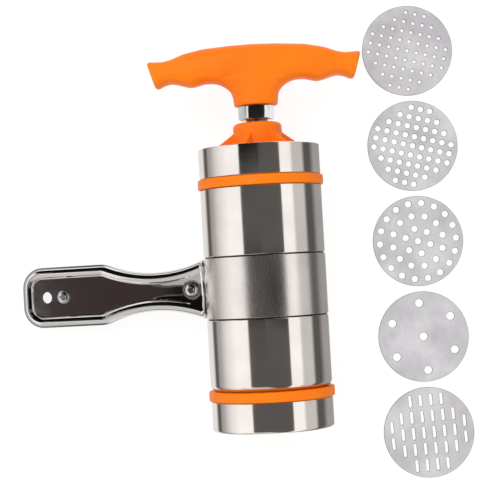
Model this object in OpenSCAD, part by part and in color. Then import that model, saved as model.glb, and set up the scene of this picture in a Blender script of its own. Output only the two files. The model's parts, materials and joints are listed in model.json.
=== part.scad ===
// Screw press for noodles and fruit: a steel barrel lying on its side with its T grip, side handle
// and five loose dies. Each press part is modelled upright, with z = 0 at the mouth of the outlet,
// and lay() then sets it down on the table. Row frame: +Y runs from the outlet to the T grip, +Z up.

/* [Barrel] */
// Outside diameter of the steel shells
barrel_d = 66; // [62:0.5:72]
// Thickness of the pressed sheet steel
sheet_t = 0.8; // [0.6:0.1:1]
// Height of the lower sleeve, with its curled end
lower_sleeve_h = 38.7; // [30:0.5:60]
// Height of the upper sleeve
upper_sleeve_h = 36.8; // [30:0.5:60]
// Outer radius of the lower sleeve's curled end
curl_r = 3.2; // [2:0.1:3.3]
// Gap seen between one steel piece and the next
seam = 0.2; // [0.1:0.05:0.4]
// Bore of the dough cylinder
bore_d = 48.8; // [44:0.2:49]
// Wall of the plastic jacket inside the sleeves
jacket_t = 2.4; // [1.5:0.1:2.5]

/* [Collars and caps] */
// Height of each screw cap's steel shell
cap_h = 16.3; // [16:0.1:20]
// Height of the edge of each plastic collar
ring_h = 5.4; // [4:0.1:8]
// How far a collar's edge stands proud of the shells
ring_proud = 1.1; // [0.5:0.1:2]
// Length of a collar's threaded neck
neck_l = 9.6; // [9:0.1:11]
// Wall of a collar's neck
neck_t = 2; // [1.8:0.1:2.4]
// Length of a collar's spigot inside the jacket
spigot_l = 12; // [8:0.5:20]
// Pitch of the cap threads
cap_pitch = 4; // [3.6:0.1:4]
// Height of the cap thread's ridge
cap_ridge = 1.1; // [0.8:0.05:1.2]
// Turns of thread on each neck
cap_turns = 1.5; // [1:0.25:1.75]
// Thickness of the rubber gaskets
gasket_t = 1; // [0.6:0.1:1.5]
// Thickness of the top cap's web
web_t = 3; // [2:0.1:4]
// Width of the steel lip around the outlet
lip_w = 7.6; // [4:0.1:8]

/* [Boss] */
// Diameter of the boss on the top cap
boss_d = 26.6; // [25:0.1:32]
// Height of the boss above the cap's steel rim
boss_rise = 13.3; // [12:0.1:20]
// Radius of the boss's rounded shoulder
boss_round = 2.6; // [1:0.1:3]
// Number of ribs that brace the boss
rib_count = 6; // [3:1:10]
// Thickness of a rib
rib_t = 2.6; // [1.5:0.1:4]
// Drop from the boss's top to the top of a rib
rib_drop = 5; // [3:0.1:8]
// Radius at which a rib runs out on the web
rib_reach = 28; // [20:0.5:30]
// Turn of the ribs about the press's axis
rib_turn = 10; // [0:1:60]

/* [Screw] */
// Outside diameter of the spindle's thread
screw_d = 12; // [10:0.5:14]
// Pitch of the spindle's thread
screw_pitch = 3; // [3:0.5:4]
// Depth of the spindle's thread
screw_depth = 1.75; // [1.2:0.05:2]
// Whole turns from the lowest to the highest piston
screw_turns = 39; // [30:1:39]
// Width across the flats of the jam nut and the drive nut
nut_af = 18; // [17:0.5:19]
// Height of the jam nut
jam_nut_h = 7.9; // [5:0.1:11]
// Height of the drive nut in the boss
drive_nut_h = 12; // [10:0.5:12]
// Gap between the boss and the jam nut with the piston down
nut_gap = 1.5; // [1:0.1:4]

/* [Piston] */
// Radial running gap between the piston and the bore
piston_gap = 0.4; // [0.2:0.05:0.8]
// Height of the piston's rim
piston_rim_h = 8; // [6:0.5:12]
// Height of the piston's hub above its rim
piston_hub_h = 9; // [4:0.5:12]
// Diameter of the piston's hub
piston_hub_d = 20; // [18:0.5:26]
// Diameter of the spindle's journal in the hub
journal_d = 8.4; // [6:0.1:8.4]
// Depth of the seal's groove
seal_depth = 2; // [1.5:0.1:3]
// Height of the seal's groove
seal_h = 3.2; // [2:0.1:4]

/* [T grip] */
// Length of the grip from tip to tip
grip_l = 117; // [100:0.5:130]
// Depth of the grip from front to back
grip_t = 21; // [19:0.5:26]
// Height of the grip's crown above its neck's foot
grip_h = 33.6; // [32:0.1:38]
// Width of the neck at its foot
neck_w = 24; // [22:0.2:28]
// Height of the neck
neck_h = 14.6; // [13:0.1:16]
// Height of the crossbar in its middle
crossbar_h = 21; // [19:0.5:22]

/* [Side handle] */
// Height of the clamp band
band_h = 32.5; // [30:0.5:40]
// Length of the handle from the barrel's wall to its tip
handle_l = 106.2; // [100:0.5:130]
// Width of the handle's grip
handle_w = 33.6; // [28:0.2:40]
// Width of the handle's waist
waist_w = 21.2; // [20:0.2:26]
// Distance from the barrel's wall to the handle's waist
waist_at = 28.9; // [25:0.1:33]
// Radius of the waist's curve
waist_r = 72; // [60:1:90]
// Radius of the curve from the waist into the grip
shoulder_r = 12; // [9:0.5:20]
// Radius of the tip's corners
tip_r = 11.5; // [9:0.5:14]
// Width of the pressed bead round the edge
bead_w = 6.4; // [5:0.1:8]
// Height of the bead's crest above the middle plane
bead_h = 4.7; // [3.5:0.1:6]
// Inner radius of the band's bend into its ears
bend_r = 2; // [1:0.1:3]
// Distance from the barrel's wall to the root screw
root_screw_at = 8.4; // [8:0.1:12]
// Distance from the handle's tip to the tip screw
tip_screw_in = 23.9; // [23:0.1:40]
// Distance from the handle's tip to the middle of the hanging hole
hang_hole_in = 13.4; // [13:0.1:15]
// Length of the band's ears from the barrel's wall
ear_l = 18; // [16:0.5:24]
// Diameter of the hanging hole
hang_hole_d = 6.6; // [5:0.1:8]
// Thread diameter of the handle's screws
handle_screw_d = 4; // [3:0.5:4]
// Head diameter of the handle's screws
handle_head_d = 7.3; // [6:0.1:8]

/* [Dies] */
// Diameter of a die
die_d = 51; // [50:0.1:51.2]
// Thickness of a die
die_t = 1; // [0.8:0.1:1.2]
// Distance from the barrel's axis to the row of dies
die_x = 87.6; // [87:0.1:110]
// Distance from one die's centre to the next
die_step = 54.1; // [53:0.1:60]
// Height of the middle die's centre along the barrel
die_mid = 97.6; // [80:0.1:120]
// Side of the square grid of the fine and medium dies
grid_step = 5.3; // [4.5:0.1:5.4]
// Turn of the grid on the fine and medium dies
grid_turn = -15.5; // [-45:0.5:45]
// Diameter of the fine die's holes
fine_hole_d = 2; // [1:0.1:2.5]
// Diameter of the medium die's holes
medium_hole_d = 3.3; // [2.6:0.1:3.6]
// Diameter of the ringed die's holes
ringed_hole_d = 3.7; // [2:0.1:4]
// Diameter of the seven-hole die's holes
seven_hole_d = 4.6; // [3:0.1:6]
// Direction of the first of the six outer holes
seven_hole_turn = 94.5; // [60:0.5:120]
// Length of a slot
slot_l = 7; // [4:0.1:7.6]
// Width of a slot
slot_w = 1.8; // [1:0.1:2.4]
// Turn of the pattern of slots
slot_turn = 3; // [-10:0.5:10]

/* [Hidden] */
$fn = 96;
thread_fn = 48;      // steps in a turn of the cap threads
screw_fn = 16;       // steps in a turn of the spindle's thread
slack = 0.05;        // gap between pieces that seat on each other
fit = 0.1;           // radial gap between pieces that are pushed together
running = 0.05;      // radial gap of a running fit
thread_gap = 0.3;    // radial gap between the crests and roots of mating threads
cut = 1;             // how far a cutting tool runs past a face
embed = 0.15;        // how deep a thread's ridge is rooted in its core
ring_turns = [43, 11.5, 2];    // direction of the first hole in each ring of the ringed die

// --- radii, from the shells inward
barrel_r = barrel_d / 2;
shell_in_r = barrel_r - sheet_t;
ring_r = barrel_r + ring_proud;
liner_r = shell_in_r - fit;                 // outside of what fits in the shells
spigot_r = liner_r - jacket_t - fit;
bore_r = bore_d / 2;
cylinder_r = bore_r + sheet_t;
neck_bore_r = cylinder_r + slack;
neck_r = neck_bore_r + neck_t;
thread_r = neck_r + cap_ridge;              // crest of a neck's thread
skirt_r = thread_r + thread_gap;            // bore of a cap's skirt
mouth_r = bore_r - fit;
die_r = die_d / 2;
pocket_r = die_r + 0.2;
gasket_r = neck_r + fit;
screw_r = screw_d / 2;
screw_root_r = screw_r - screw_depth;
piston_r = bore_r - piston_gap;
journal_r = journal_d / 2;

// --- heights, from the outlet upward
neck_end = cap_h + seam - neck_l;           // lower end of the dough cylinder
ledge_z = neck_end - gasket_t - 2 * slack;  // ledge under the lower gasket
seat_z = ledge_z - die_t - slack;           // seat of the die in the outlet
lower_ring_z = cap_h + seam;
lower_sleeve_z = lower_ring_z + ring_h + seam;
band_z = lower_sleeve_z + lower_sleeve_h + seam;
band_mid = band_z + band_h / 2;
upper_sleeve_z = band_z + band_h + seam;
upper_ring_z = upper_sleeve_z + upper_sleeve_h + seam;
top_shell_z = upper_ring_z + ring_h + seam;
rim_z = top_shell_z + cap_h;
cylinder_top = upper_ring_z + ring_h + neck_l;
web_z = cylinder_top + gasket_t + 2 * slack;
boss_top = rim_z + boss_rise;
retainer_t = 1.2;
drive_nut_z = web_z + retainer_t + 2 * slack;
jam_nut_z = boss_top + nut_gap;
grip_z = jam_nut_z + jam_nut_h + fit;

// --- piston and spindle at rest
piston_z = neck_end + 0.6;
recess_h = 4.2;                             // recess in the piston's face for its screw
recess_r = 8.5;
recess_top = piston_z + recess_h;
hub_top = piston_z + piston_rim_h + piston_hub_h;
thrust_t = 1;
thrust_r = 8;
flange_z = hub_top + thrust_t + 2 * slack;
flange_t = 2.5;
flange_r = 7.5;
thread_z = flange_z + flange_t + 0.9;
thread_top = jam_nut_z - 0.3;
screw_travel = screw_turns * screw_pitch;
end_screw_r = 2;
end_screw_l = 10;
end_screw_head_d = 7.6;
head_af = 16;                               // hexagon that is moulded into the grip
head_h = 7;
head_z = grip_z + neck_h - fit;

// --- side handle: s runs out from the barrel's axis, w across, t from the middle plane to the front
handle_reach = barrel_r + handle_l;
waist_s = barrel_r + waist_at;
root_screw_s = barrel_r + root_screw_at;
tip_screw_s = handle_reach - tip_screw_in;
hang_hole_s = handle_reach - hang_hole_in;
half_w = handle_w / 2;
ear_t = sheet_t;
panel_in = slack + ear_t + fit;            // inner face of a shell's panel
panel_out = panel_in + sheet_t;
bead_c = bead_w / 2;
waist_c = waist_w / 2 + waist_r;            // centre of the waist's curve
shoulder_c = half_w - shoulder_r;
shoulder_s = waist_s + sqrt(pow(waist_r + shoulder_r, 2) - pow(waist_c - shoulder_c, 2));
shoulder_a = atan2(shoulder_s - waist_s, waist_c - shoulder_c);
tip_c = half_w - tip_r;
root_s = barrel_r - 3;                      // the outline starts inside the band and is cut there
root_a = asin((root_s - waist_s) / waist_r);
handle_end_r = barrel_r + bend_r + fit;     // the shells stop at the band's bend

// --- how the press lies on the table
axis_z = ring_r;
crest_s = handle_reach - bead_c;
// turn that brings the handle's tip down to the table, with the bead as an ellipse
handle_roll = [for (i = 0, a = asin((axis_z - bead_h) / crest_s); i < 6;
                    i = i + 1, a = asin((axis_z - tip_drop(a)) / crest_s)) a][5];
reach_x = (crest_s * cos(handle_roll)) + tip_out(handle_roll);
press_x = (reach_x - die_x - die_r) / 2;

function tip_drop(a) = bead_base() * cos(a)
  + sqrt(pow(bead_c * sin(a), 2) + pow((bead_h - bead_base()) * cos(a), 2));
function tip_out(a) = bead_base() * sin(a)
  + sqrt(pow(bead_c * cos(a), 2) + pow((bead_h - bead_base()) * sin(a), 2));
function bead_base() = panel_out;

// ---------------------------------------------------------------- shared shapes

// A tube standing at z = 0
module tube(outer_r, inner_r, h) {
  difference() {
    cylinder(r = outer_r, h = h);
    translate([0, 0, -cut]) cylinder(r = inner_r, h = h + 2 * cut);
  }
}

// A hexagonal prism, measured across its flats
module hexagon(af, h) {
  cylinder(r = af / 2 / cos(30), h = h, $fn = 6);
}

// Points of a helical ridge whose ends fade into the core
function ridge_points(root_r, crest_r, root_w, crest_w, pitch, n, segs, rise = 0.25) =
  [for (i = [0:n])
    let (turn = 360 * i / segs,
         fade = min(1, 0.03 + min(i, n - i) / (rise * segs)),
         r = root_r + (crest_r - root_r) * fade,
         side = sign(crest_r - root_r) / 2)
    for (p = [[root_r, side * root_w], [r, side * crest_w], [r, -side * crest_w], [root_r, -side * root_w]])
      [p[0] * cos(turn), p[0] * sin(turn), pitch * i / segs + p[1]]];

// Faces of a skin over rings of k points each, closed at both ends. Seen from the first ring,
// looking toward the last, each ring runs clockwise.
function skin_faces(rings, k) = concat(
  [[for (j = [0:k-1]) j]],
  [for (i = [0:rings-2]) for (j = [0:k-1])
    let (a = k * i + j, b = k * i + (j + 1) % k, c = b + k, d = a + k)
    for (t = [[a, c, b], [a, d, c]]) t],
  [[for (j = [k-1:-1:0]) k * (rings - 1) + j]]);

module ridge(root_r, crest_r, root_w, crest_w, pitch, turns, segs) {
  n = ceil(turns * segs);
  polyhedron(ridge_points(root_r, crest_r, root_w, crest_w, pitch, n, segs),
             skin_faces(n + 1, 4), convexity = 10);
}

// ---------------------------------------------------------------- collars and gaskets

// Rounded edge of a collar, as a section
module collar_edge() {
  edge = 0.8;
  translate([neck_bore_r, 0]) square([ring_r - edge - neck_bore_r, ring_h]);
  translate([ring_r - 2 * edge, edge]) square([2 * edge, ring_h - 2 * edge]);
  for (z = [edge, ring_h - edge]) translate([ring_r - edge, z]) circle(r = edge, $fn = 32);
}

// One collar, neck upward, with the underside of its edge at z = 0
module collar() {
  color("#ff7f1a") {
    rotate_extrude() collar_edge();
    translate([0, 0, -spigot_l]) tube(spigot_r, neck_bore_r, spigot_l);
    difference() {
      union() {
        cylinder(r = neck_r, h = ring_h + neck_l);
        translate([0, 0, ring_h + cap_ridge + 0.9])
          ridge(neck_r - embed, thread_r, 2 * cap_ridge, 0.8, cap_pitch, cap_turns, thread_fn);
      }
      translate([0, 0, -cut]) cylinder(r = neck_bore_r, h = ring_h + neck_l + 2 * cut);
    }
  }
}

module upper_collar() {
  translate([0, 0, upper_ring_z]) collar();
}

module lower_collar() {
  translate([0, 0, lower_ring_z + ring_h]) rotate([180, 0, 0]) collar();
}

module gasket() {
  color("#e8e6e0") tube(gasket_r, bore_r + 0.2, gasket_t);
}

module top_gasket() {
  translate([0, 0, cylinder_top + slack]) gasket();
}

module bottom_gasket() {
  translate([0, 0, ledge_z + slack]) gasket();
}

// Thread ridge inside a cap's skirt, half a pitch from the neck's, with its start at z = 0
module skirt_thread() {
  ridge(skirt_r + embed, neck_r + thread_gap, 1.6, 0.8, cap_pitch, cap_turns - 0.25, thread_fn);
}

// ---------------------------------------------------------------- barrel

module dough_cylinder() {
  color("#c9c8c6") translate([0, 0, neck_end]) tube(cylinder_r, bore_r, cylinder_top - neck_end);
}

module inner_jacket() {
  low = lower_sleeve_z + curl_r + 0.3;
  color("#2b2a29") translate([0, 0, low])
    tube(liner_r, spigot_r + fit, upper_ring_z - seam - low);
}

module upper_sleeve() {
  color("#c9c8c6") translate([0, 0, upper_sleeve_z]) tube(barrel_r, shell_in_r, upper_sleeve_h);
}

// Section of a sheet wall whose lower end turns in with radius r and runs on to in_r
module turned_in(r, in_r, h) {
  translate([shell_in_r, r]) square([sheet_t, h - r]);
  intersection() {
    translate([barrel_r - r, r]) difference() {
      circle(r = r);
      circle(r = r - sheet_t);
    }
    translate([barrel_r - r, 0]) square([r, r]);
  }
  if (in_r < barrel_r - r) translate([in_r, 0]) square([barrel_r - r - in_r, sheet_t]);
}

module lower_sleeve() {
  color("#c9c8c6") translate([0, 0, lower_sleeve_z])
    rotate_extrude() turned_in(curl_r, barrel_r - curl_r, lower_sleeve_h);
}

// ---------------------------------------------------------------- bottom cap

module bottom_cap_shell() {
  color("#c9c8c6") rotate_extrude() turned_in(1.5, barrel_r - lip_w, cap_h);
}

module bottom_cap_core() {
  floor_z = sheet_t + slack;
  top = cap_h - fit;
  color("#ff7f1a") {
    difference() {
      union() {
        translate([0, 0, floor_z]) cylinder(r = liner_r - 1, h = 1);
        translate([0, 0, floor_z + 0.7]) cylinder(r = liner_r, h = top - floor_z - 0.7);
      }
      translate([0, 0, -cut]) cylinder(r = mouth_r, h = top + 2 * cut);
      translate([0, 0, seat_z]) cylinder(r = pocket_r, h = top);
      translate([0, 0, ledge_z]) cylinder(r = skirt_r, h = top);
    }
    translate([0, 0, lower_ring_z - cap_ridge - 0.9 - cap_pitch / 2 - cap_pitch * (cap_turns - 0.25)])
      rotate([0, 0, -360 * (cap_turns - 0.25)])
        skirt_thread();
  }
}

// ---------------------------------------------------------------- top cap

module top_cap_shell() {
  color("#c9c8c6") translate([0, 0, top_shell_z]) tube(barrel_r, shell_in_r, cap_h);
}

// Side view of a rib, from the boss's wall down to the web
module rib_side() {
  inner = nut_af / 2 + 3;
  polygon([[inner, web_z + web_t - 0.5], [rib_reach, web_z + web_t - 0.5], [rib_reach, web_z + web_t],
           [boss_d / 2 - 0.5, boss_top - rib_drop], [inner, boss_top - rib_drop]]);
}

module cap_core() {
  nut_room = drive_nut_z + drive_nut_h + slack;
  skirt_z = top_shell_z + fit;
  color("#ff7f1a") {
    difference() {
      union() {
        translate([0, 0, skirt_z]) cylinder(r = liner_r, h = web_z + web_t - skirt_z);
        rotate_extrude() {
          translate([0, web_z]) square([boss_d / 2, boss_top - boss_round - web_z]);
          translate([0, web_z]) square([boss_d / 2 - boss_round, boss_top - web_z]);
          translate([boss_d / 2 - boss_round, boss_top - boss_round]) circle(r = boss_round);
        }
        for (i = [0:rib_count - 1]) rotate([0, 0, rib_turn + 360 / rib_count * i])
          translate([0, rib_t / 2, 0]) rotate([90, 0, 0]) linear_extrude(rib_t) rib_side();
      }
      translate([0, 0, skirt_z - cut]) cylinder(r = skirt_r, h = web_z - skirt_z + cut);
      translate([0, 0, web_z - cut]) cylinder(r = nut_af / 2 / cos(30) + 1.4 + fit, h = cut + retainer_t + slack);
      translate([0, 0, web_z]) hexagon(nut_af + 2 * slack, nut_room - web_z);
      translate([0, 0, web_z]) cylinder(r = screw_r + 0.4, h = boss_top);
    }
    translate([0, 0, upper_ring_z + ring_h + cap_ridge + 0.9 + cap_pitch / 2]) skirt_thread();
  }
}

// Helical room for the spindle's ridge, phased to the spindle at rest
module spindle_ridge(gap, z_low, turns) {
  phase = (z_low - thread_z) / screw_pitch * 360;
  translate([0, 0, z_low]) rotate([0, 0, phase])
    ridge(screw_root_r - embed, screw_r + gap, screw_pitch * 0.58 + 1.5 * gap,
          screw_pitch * 0.3 + 1.5 * gap, screw_pitch, turns, screw_fn);
}

module drive_nut() {
  color("#b9994f") difference() {
    translate([0, 0, drive_nut_z]) hexagon(nut_af, drive_nut_h);
    translate([0, 0, drive_nut_z - cut]) cylinder(r = screw_root_r + 0.2, h = drive_nut_h + 2 * cut);
    spindle_ridge(thread_gap, drive_nut_z - 2 * screw_pitch, drive_nut_h / screw_pitch + 4);
  }
}

module nut_retainer() {
  color("#b8b8ba") translate([0, 0, web_z + slack])
    tube(nut_af / 2 / cos(30) + 1.4, screw_r + 0.6, retainer_t);
}

// ---------------------------------------------------------------- spindle, nut and grip

module spindle() {
  color("#8f8f92") difference() {
    union() {
      translate([0, 0, recess_top - slack]) cylinder(r = journal_r, h = flange_z - recess_top + 1);
      translate([0, 0, flange_z]) cylinder(r = flange_r, h = flange_t);
      translate([0, 0, flange_z + 1]) cylinder(r = screw_root_r, h = thread_top - flange_z - 1);
      spindle_ridge(0, thread_z, (thread_top - thread_z - 1.2) / screw_pitch);
      translate([0, 0, thread_top]) cylinder(r = screw_r - running, h = head_z - thread_top + 1);
      translate([0, 0, head_z]) hexagon(head_af, head_h);
    }
    translate([0, 0, recess_top - cut]) cylinder(r = end_screw_r + slack, h = end_screw_l + 2 * cut);
  }
}

// Hexagon with its corners turned off at both ends
module jam_nut() {
  corner_r = nut_af / 2 / cos(30);
  crown = (corner_r - nut_af / 2) * tan(30);
  color("#cfd0d4") translate([0, 0, jam_nut_z]) difference() {
    intersection() {
      hexagon(nut_af, jam_nut_h);
      rotate_extrude() polygon([[0, 0], [nut_af / 2, 0], [corner_r, crown],
        [corner_r, jam_nut_h - crown], [nut_af / 2, jam_nut_h], [0, jam_nut_h]]);
    }
    translate([0, 0, -cut]) cylinder(r = screw_r, h = jam_nut_h + 2 * cut);
  }
}

// Drop of the grip's top edge below its crown, at shares of its half length
crown_drop = [[0, 0], [0.23, 0.4], [0.47, 1.4], [0.61, 3], [0.66, 3.7], [0.72, 5], [0.77, 6.2],
  [0.85, 7.2], [0.92, 7.1], [1, 6.8]];
// Rise of its bottom edge above the shoulder of the neck, with two hollows for the fingers
finger_rise = [[0, 0], [0.36, 0.2], [0.44, 0.8], [0.51, 0.7], [0.57, -0.2], [0.63, -0.9],
  [0.69, -0.3], [0.78, 1.2], [0.84, 1.8], [0.9, 1.1], [0.96, -0.4], [1, -1]];
// Flare of the neck's half width, at shares of its height
neck_flare = [[0, 0], [0.24, 0.2], [0.45, 0.8], [0.56, 1.6], [0.71, 3.8], [0.84, 7], [0.92, 10.3], [1, 13.5]];
shoulder_h = grip_h - crossbar_h;           // top of the neck's shoulder
tip_slant = 4.6;                            // how far the tip's top overhangs its bottom

// Half depth of the grip at a share of its half length
function grip_depth(f) = grip_t / 2 * (1 - 0.28 * pow(f, 2) + 0.1 * pow(f, 8));

// Rings of the crossbar: rounded sections from tip to tip
function grip_rings(n, k) = [for (i = [-n:n])
  let (f = i / n, g = abs(f), top = grip_h - lookup(g, crown_drop), depth = grip_depth(g),
       low = shoulder_h + lookup(g, finger_rise), half = (top - low) / 2)
  for (j = [0:k-1])
    let (a = 360 * j / k, up = sign(sin(a)) * pow(abs(sin(a)), 0.8),
         out = sign(cos(a)) * pow(abs(cos(a)), 0.7))
    [f * (grip_l / 2 - tip_slant * (1 - up) / 2), depth * out, grip_z + low + half * (1 + up)]];

// Rings of the neck, from its foot up to the middle of the crossbar
function neck_rings(k) = [for (p = concat(neck_flare, [[(grip_h - crossbar_h / 2) / neck_h, 6]]))
  let (half = neck_w / 2 + p[1], z = p[0] * neck_h)
  for (j = [0:k-1])
    let (a = 360 * j / k)
    [half * cos(a), (neck_w / 2 - 1 - z * 0.1) * sin(a), grip_z + z]];

module t_grip() {
  n = 24;
  k = 24;
  color("#ff7f1a") difference() {
    union() {
      polyhedron(grip_rings(n, k), skin_faces(2 * n + 1, k), convexity = 6);
      polyhedron(neck_rings(k), skin_faces(len(neck_flare) + 1, k), convexity = 4);
    }
    translate([0, 0, grip_z - cut]) cylinder(r = screw_r, h = head_z - grip_z + cut + slack);
    translate([0, 0, head_z - slack]) hexagon(head_af + 2 * slack, head_h + 2 * slack);
  }
}

// ---------------------------------------------------------------- piston

module piston_body() {
  groove_z = piston_z + (piston_rim_h - seal_h) / 2;
  color("#ff7f1a") difference() {
    union() {
      translate([0, 0, piston_z]) cylinder(r = piston_r, h = piston_rim_h);
      translate([0, 0, piston_z]) cylinder(d = piston_hub_d, h = piston_rim_h + piston_hub_h);
    }
    translate([0, 0, groove_z]) tube(piston_r + cut, piston_r - seal_depth, seal_h);
    translate([0, 0, piston_z - cut]) cylinder(r = recess_r, h = recess_h + cut);
    translate([0, 0, piston_z]) cylinder(r = journal_r + running, h = hub_top);
  }
}

module piston_seal() {
  lip = 0.8;
  color("#e8e6e0") translate([0, 0, piston_z + piston_rim_h / 2]) rotate_extrude() {
    in_r = piston_r - seal_depth + slack;
    out_r = bore_r - running;
    half = seal_h / 2 - fit;
    translate([in_r, -half]) square([out_r - lip - in_r, 2 * half]);
    translate([out_r - lip, 0]) circle(r = lip);
  }
}

module thrust_washer() {
  color("#b8b8ba") translate([0, 0, hub_top + slack])
    tube(thrust_r, journal_r + fit, thrust_t);
}

module piston_washer() {
  color("#b8b8ba") translate([0, 0, recess_top - 2 * slack - thrust_t])
    tube(recess_r - 1.3, end_screw_r + fit, thrust_t);
}

// Cross recess for a screwdriver, cut down from z = 0
module cross_recess(span, depth) {
  for (a = [0, 90]) rotate([0, 0, a])
    translate([-span / 2, -0.5, -depth]) cube([span, 1, depth + cut]);
}

// A round-topped screw: head above z = 0, shank below
module pan_screw(d, head_d, head_h, shank_l) {
  difference() {
    union() {
      cylinder(d = head_d, h = head_h * 0.55);
      intersection() {
        translate([0, 0, head_h - head_d * 0.8]) sphere(r = head_d * 0.8);
        cylinder(d = head_d, h = head_h);
      }
      translate([0, 0, -shank_l]) cylinder(d = d, h = shank_l + 0.5);
    }
    translate([0, 0, head_h]) cross_recess(head_d * 0.58, head_h * 0.55);
  }
}

module piston_screw() {
  color("#cfd0d4") translate([0, 0, recess_top - 3 * slack - thrust_t]) rotate([180, 0, 0])
    pan_screw(2 * end_screw_r, end_screw_head_d, 2.6, end_screw_l);
}

// ---------------------------------------------------------------- side handle

// Outline of the handle's upper edge from the root to the tip: each entry is a point and its inward normal
function half_outline() = concat(
  [for (i = [0:18]) let (a = root_a + (shoulder_a - root_a) * i / 18)
    [[waist_s + waist_r * sin(a), waist_c - waist_r * cos(a)], [sin(a), -cos(a)]]],
  [for (i = [1:4]) let (a = 90 + shoulder_a * (1 - i / 4))
    [[shoulder_s + shoulder_r * cos(a), shoulder_c + shoulder_r * sin(a)], [-cos(a), -sin(a)]]],
  [for (i = [0:8]) let (a = 90 - 90 * i / 8)
    [[handle_reach - tip_r + tip_r * cos(a), tip_c + tip_r * sin(a)], [-cos(a), -sin(a)]]]);

function handle_outline() = let (half = half_outline(), m = len(half)) concat(half,
  [for (i = [m-1:-1:0]) [[half[i][0][0], -half[i][0][1]], [half[i][1][0], -half[i][1][1]]]]);

// The outline moved inward by d
function inset_outline(d) = [for (p = handle_outline()) p[0] + d * p[1]];

// Section of the pressed bead: [inset, height] round the outside and back along the inside
function bead_section() = concat([[0, fit]],
  [for (a = [180:-22.5:0]) [bead_c + bead_c * cos(a), panel_out + (bead_h - panel_out) * sin(a)]],
  [[bead_w, panel_in + 0.05], [bead_w - sheet_t, panel_in + 0.05]],
  [for (a = [0:30:180]) [bead_c + (bead_c - sheet_t) * cos(a),
                         panel_out + (bead_h - panel_out - sheet_t) * sin(a)]],
  [[sheet_t, fit]]);

module through_holes(depth) {
  for (s = [root_screw_s, tip_screw_s])
    translate([s, 0, -depth]) cylinder(r = handle_screw_d / 2 + fit, h = 2 * depth);
  translate([hang_hole_s, 0, -depth]) cylinder(d = hang_hole_d, h = 2 * depth);
}

// One pressed shell in the handle's own frame, facing +t
module handle_shell() {
  section = bead_section();
  k = len(section);
  rings = [for (p = handle_outline()) for (q = section)
    [p[0][0] + q[0] * p[1][0], p[0][1] + q[0] * p[1][1], q[1]]];
  difference() {
    union() {
      polyhedron(rings, skin_faces(len(handle_outline()), k), convexity = 8);
      translate([0, 0, panel_in]) linear_extrude(sheet_t) polygon(inset_outline(bead_w - sheet_t / 2));
    }
    rotate([90, 0, 0]) cylinder(r = handle_end_r, h = 3 * half_w, center = true);
    through_holes(2 * bead_h);
  }
}

// Sets the handle's own frame on the barrel: s outward along -X, t toward the front
module on_barrel() {
  translate([0, 0, band_mid]) rotate([0, 180, 0]) rotate([90, 0, 0]) children();
}

module handle_front() {
  color("#4a4340") on_barrel() handle_shell();
}

module handle_back() {
  color("#4a4340") on_barrel() rotate([180, 0, 0]) handle_shell();
}

// Section of the band: a ring with a gap, and the bends that lead into an ear on each side of it
module band_section() {
  bend_x = sqrt(pow(barrel_r + bend_r, 2) - pow(slack + ear_t + bend_r, 2));
  difference() {
    union() {
      difference() {
        circle(r = barrel_r);
        circle(r = shell_in_r);
      }
      for (side = [-1, 1]) difference() {
        polygon([[-shell_in_r - 0.1, side * slack], [-bend_x, side * slack], [-bend_x, side * (slack + ear_t)],
          [-bend_x * barrel_r / (barrel_r + bend_r), side * (slack + ear_t + bend_r) * barrel_r / (barrel_r + bend_r)],
          [-shell_in_r - 0.1, side * (slack + ear_t + bend_r) * barrel_r / (barrel_r + bend_r)]]);
        translate([-bend_x, side * (slack + ear_t + bend_r)]) circle(r = bend_r);
      }
    }
    translate([-barrel_r - cut, -slack]) square([2 * cut + sheet_t, 2 * slack]);
  }
}

module clamp_band() {
  ear_inset = sheet_t + 0.9;
  color("#c9c8c6") {
    translate([0, 0, band_z]) linear_extrude(band_h) band_section();
    on_barrel() for (side = [-1, 1]) difference() {
      translate([0, 0, side > 0 ? slack : -slack - ear_t])
        linear_extrude(ear_t) intersection() {
          polygon(inset_outline(ear_inset));
          translate([0, -half_w]) square([barrel_r + ear_l, 2 * half_w]);
        }
      rotate([90, 0, 0]) cylinder(r = barrel_r + bend_r - 0.4, h = 3 * half_w, center = true);
      through_holes(2 * bead_h);
    }
  }
}

module handle_screw(s) {
  head_h = 2.6;
  color("#cfd0d4") on_barrel() translate([s, 0, panel_out + slack])
    pan_screw(handle_screw_d - 2 * slack, handle_head_d, head_h, 2 * panel_out + handle_nut_h + 0.6);
}
handle_nut_h = 2.4;

module root_screw() {
  handle_screw(root_screw_s);
}

module tip_screw() {
  handle_screw(tip_screw_s);
}

// The two nuts behind the handle
module handle_nuts() {
  color("#cfd0d4") on_barrel() for (s = [root_screw_s, tip_screw_s])
    translate([s, 0, -panel_out - slack - handle_nut_h]) difference() {
      hexagon(handle_screw_d * 1.75, handle_nut_h);
      translate([0, 0, -cut]) cylinder(d = handle_screw_d, h = handle_nut_h + 2 * cut);
    }
}

// ---------------------------------------------------------------- dies

// A blank die with the children cut through it
module die(place) {
  color("#c4c2c4") translate([press_x + die_x, (2 - place) * die_step, 0]) difference() {
    cylinder(r = die_r, h = die_t);
    translate([0, 0, -cut]) linear_extrude(die_t + 2 * cut) children();
  }
}

// Square grid of round holes that fills the die
module hole_grid(d) {
  reach = 4;
  rotate([0, 0, grid_turn])
    for (i = [-reach:reach], j = [-reach:reach]) if (i * i + j * j <= reach * reach + 1)
      translate([i * grid_step, j * grid_step]) circle(d = d, $fn = 32);
}

module die_fine() {
  die(0) hole_grid(fine_hole_d);
}

module die_medium() {
  die(1) hole_grid(medium_hole_d);
}

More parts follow.
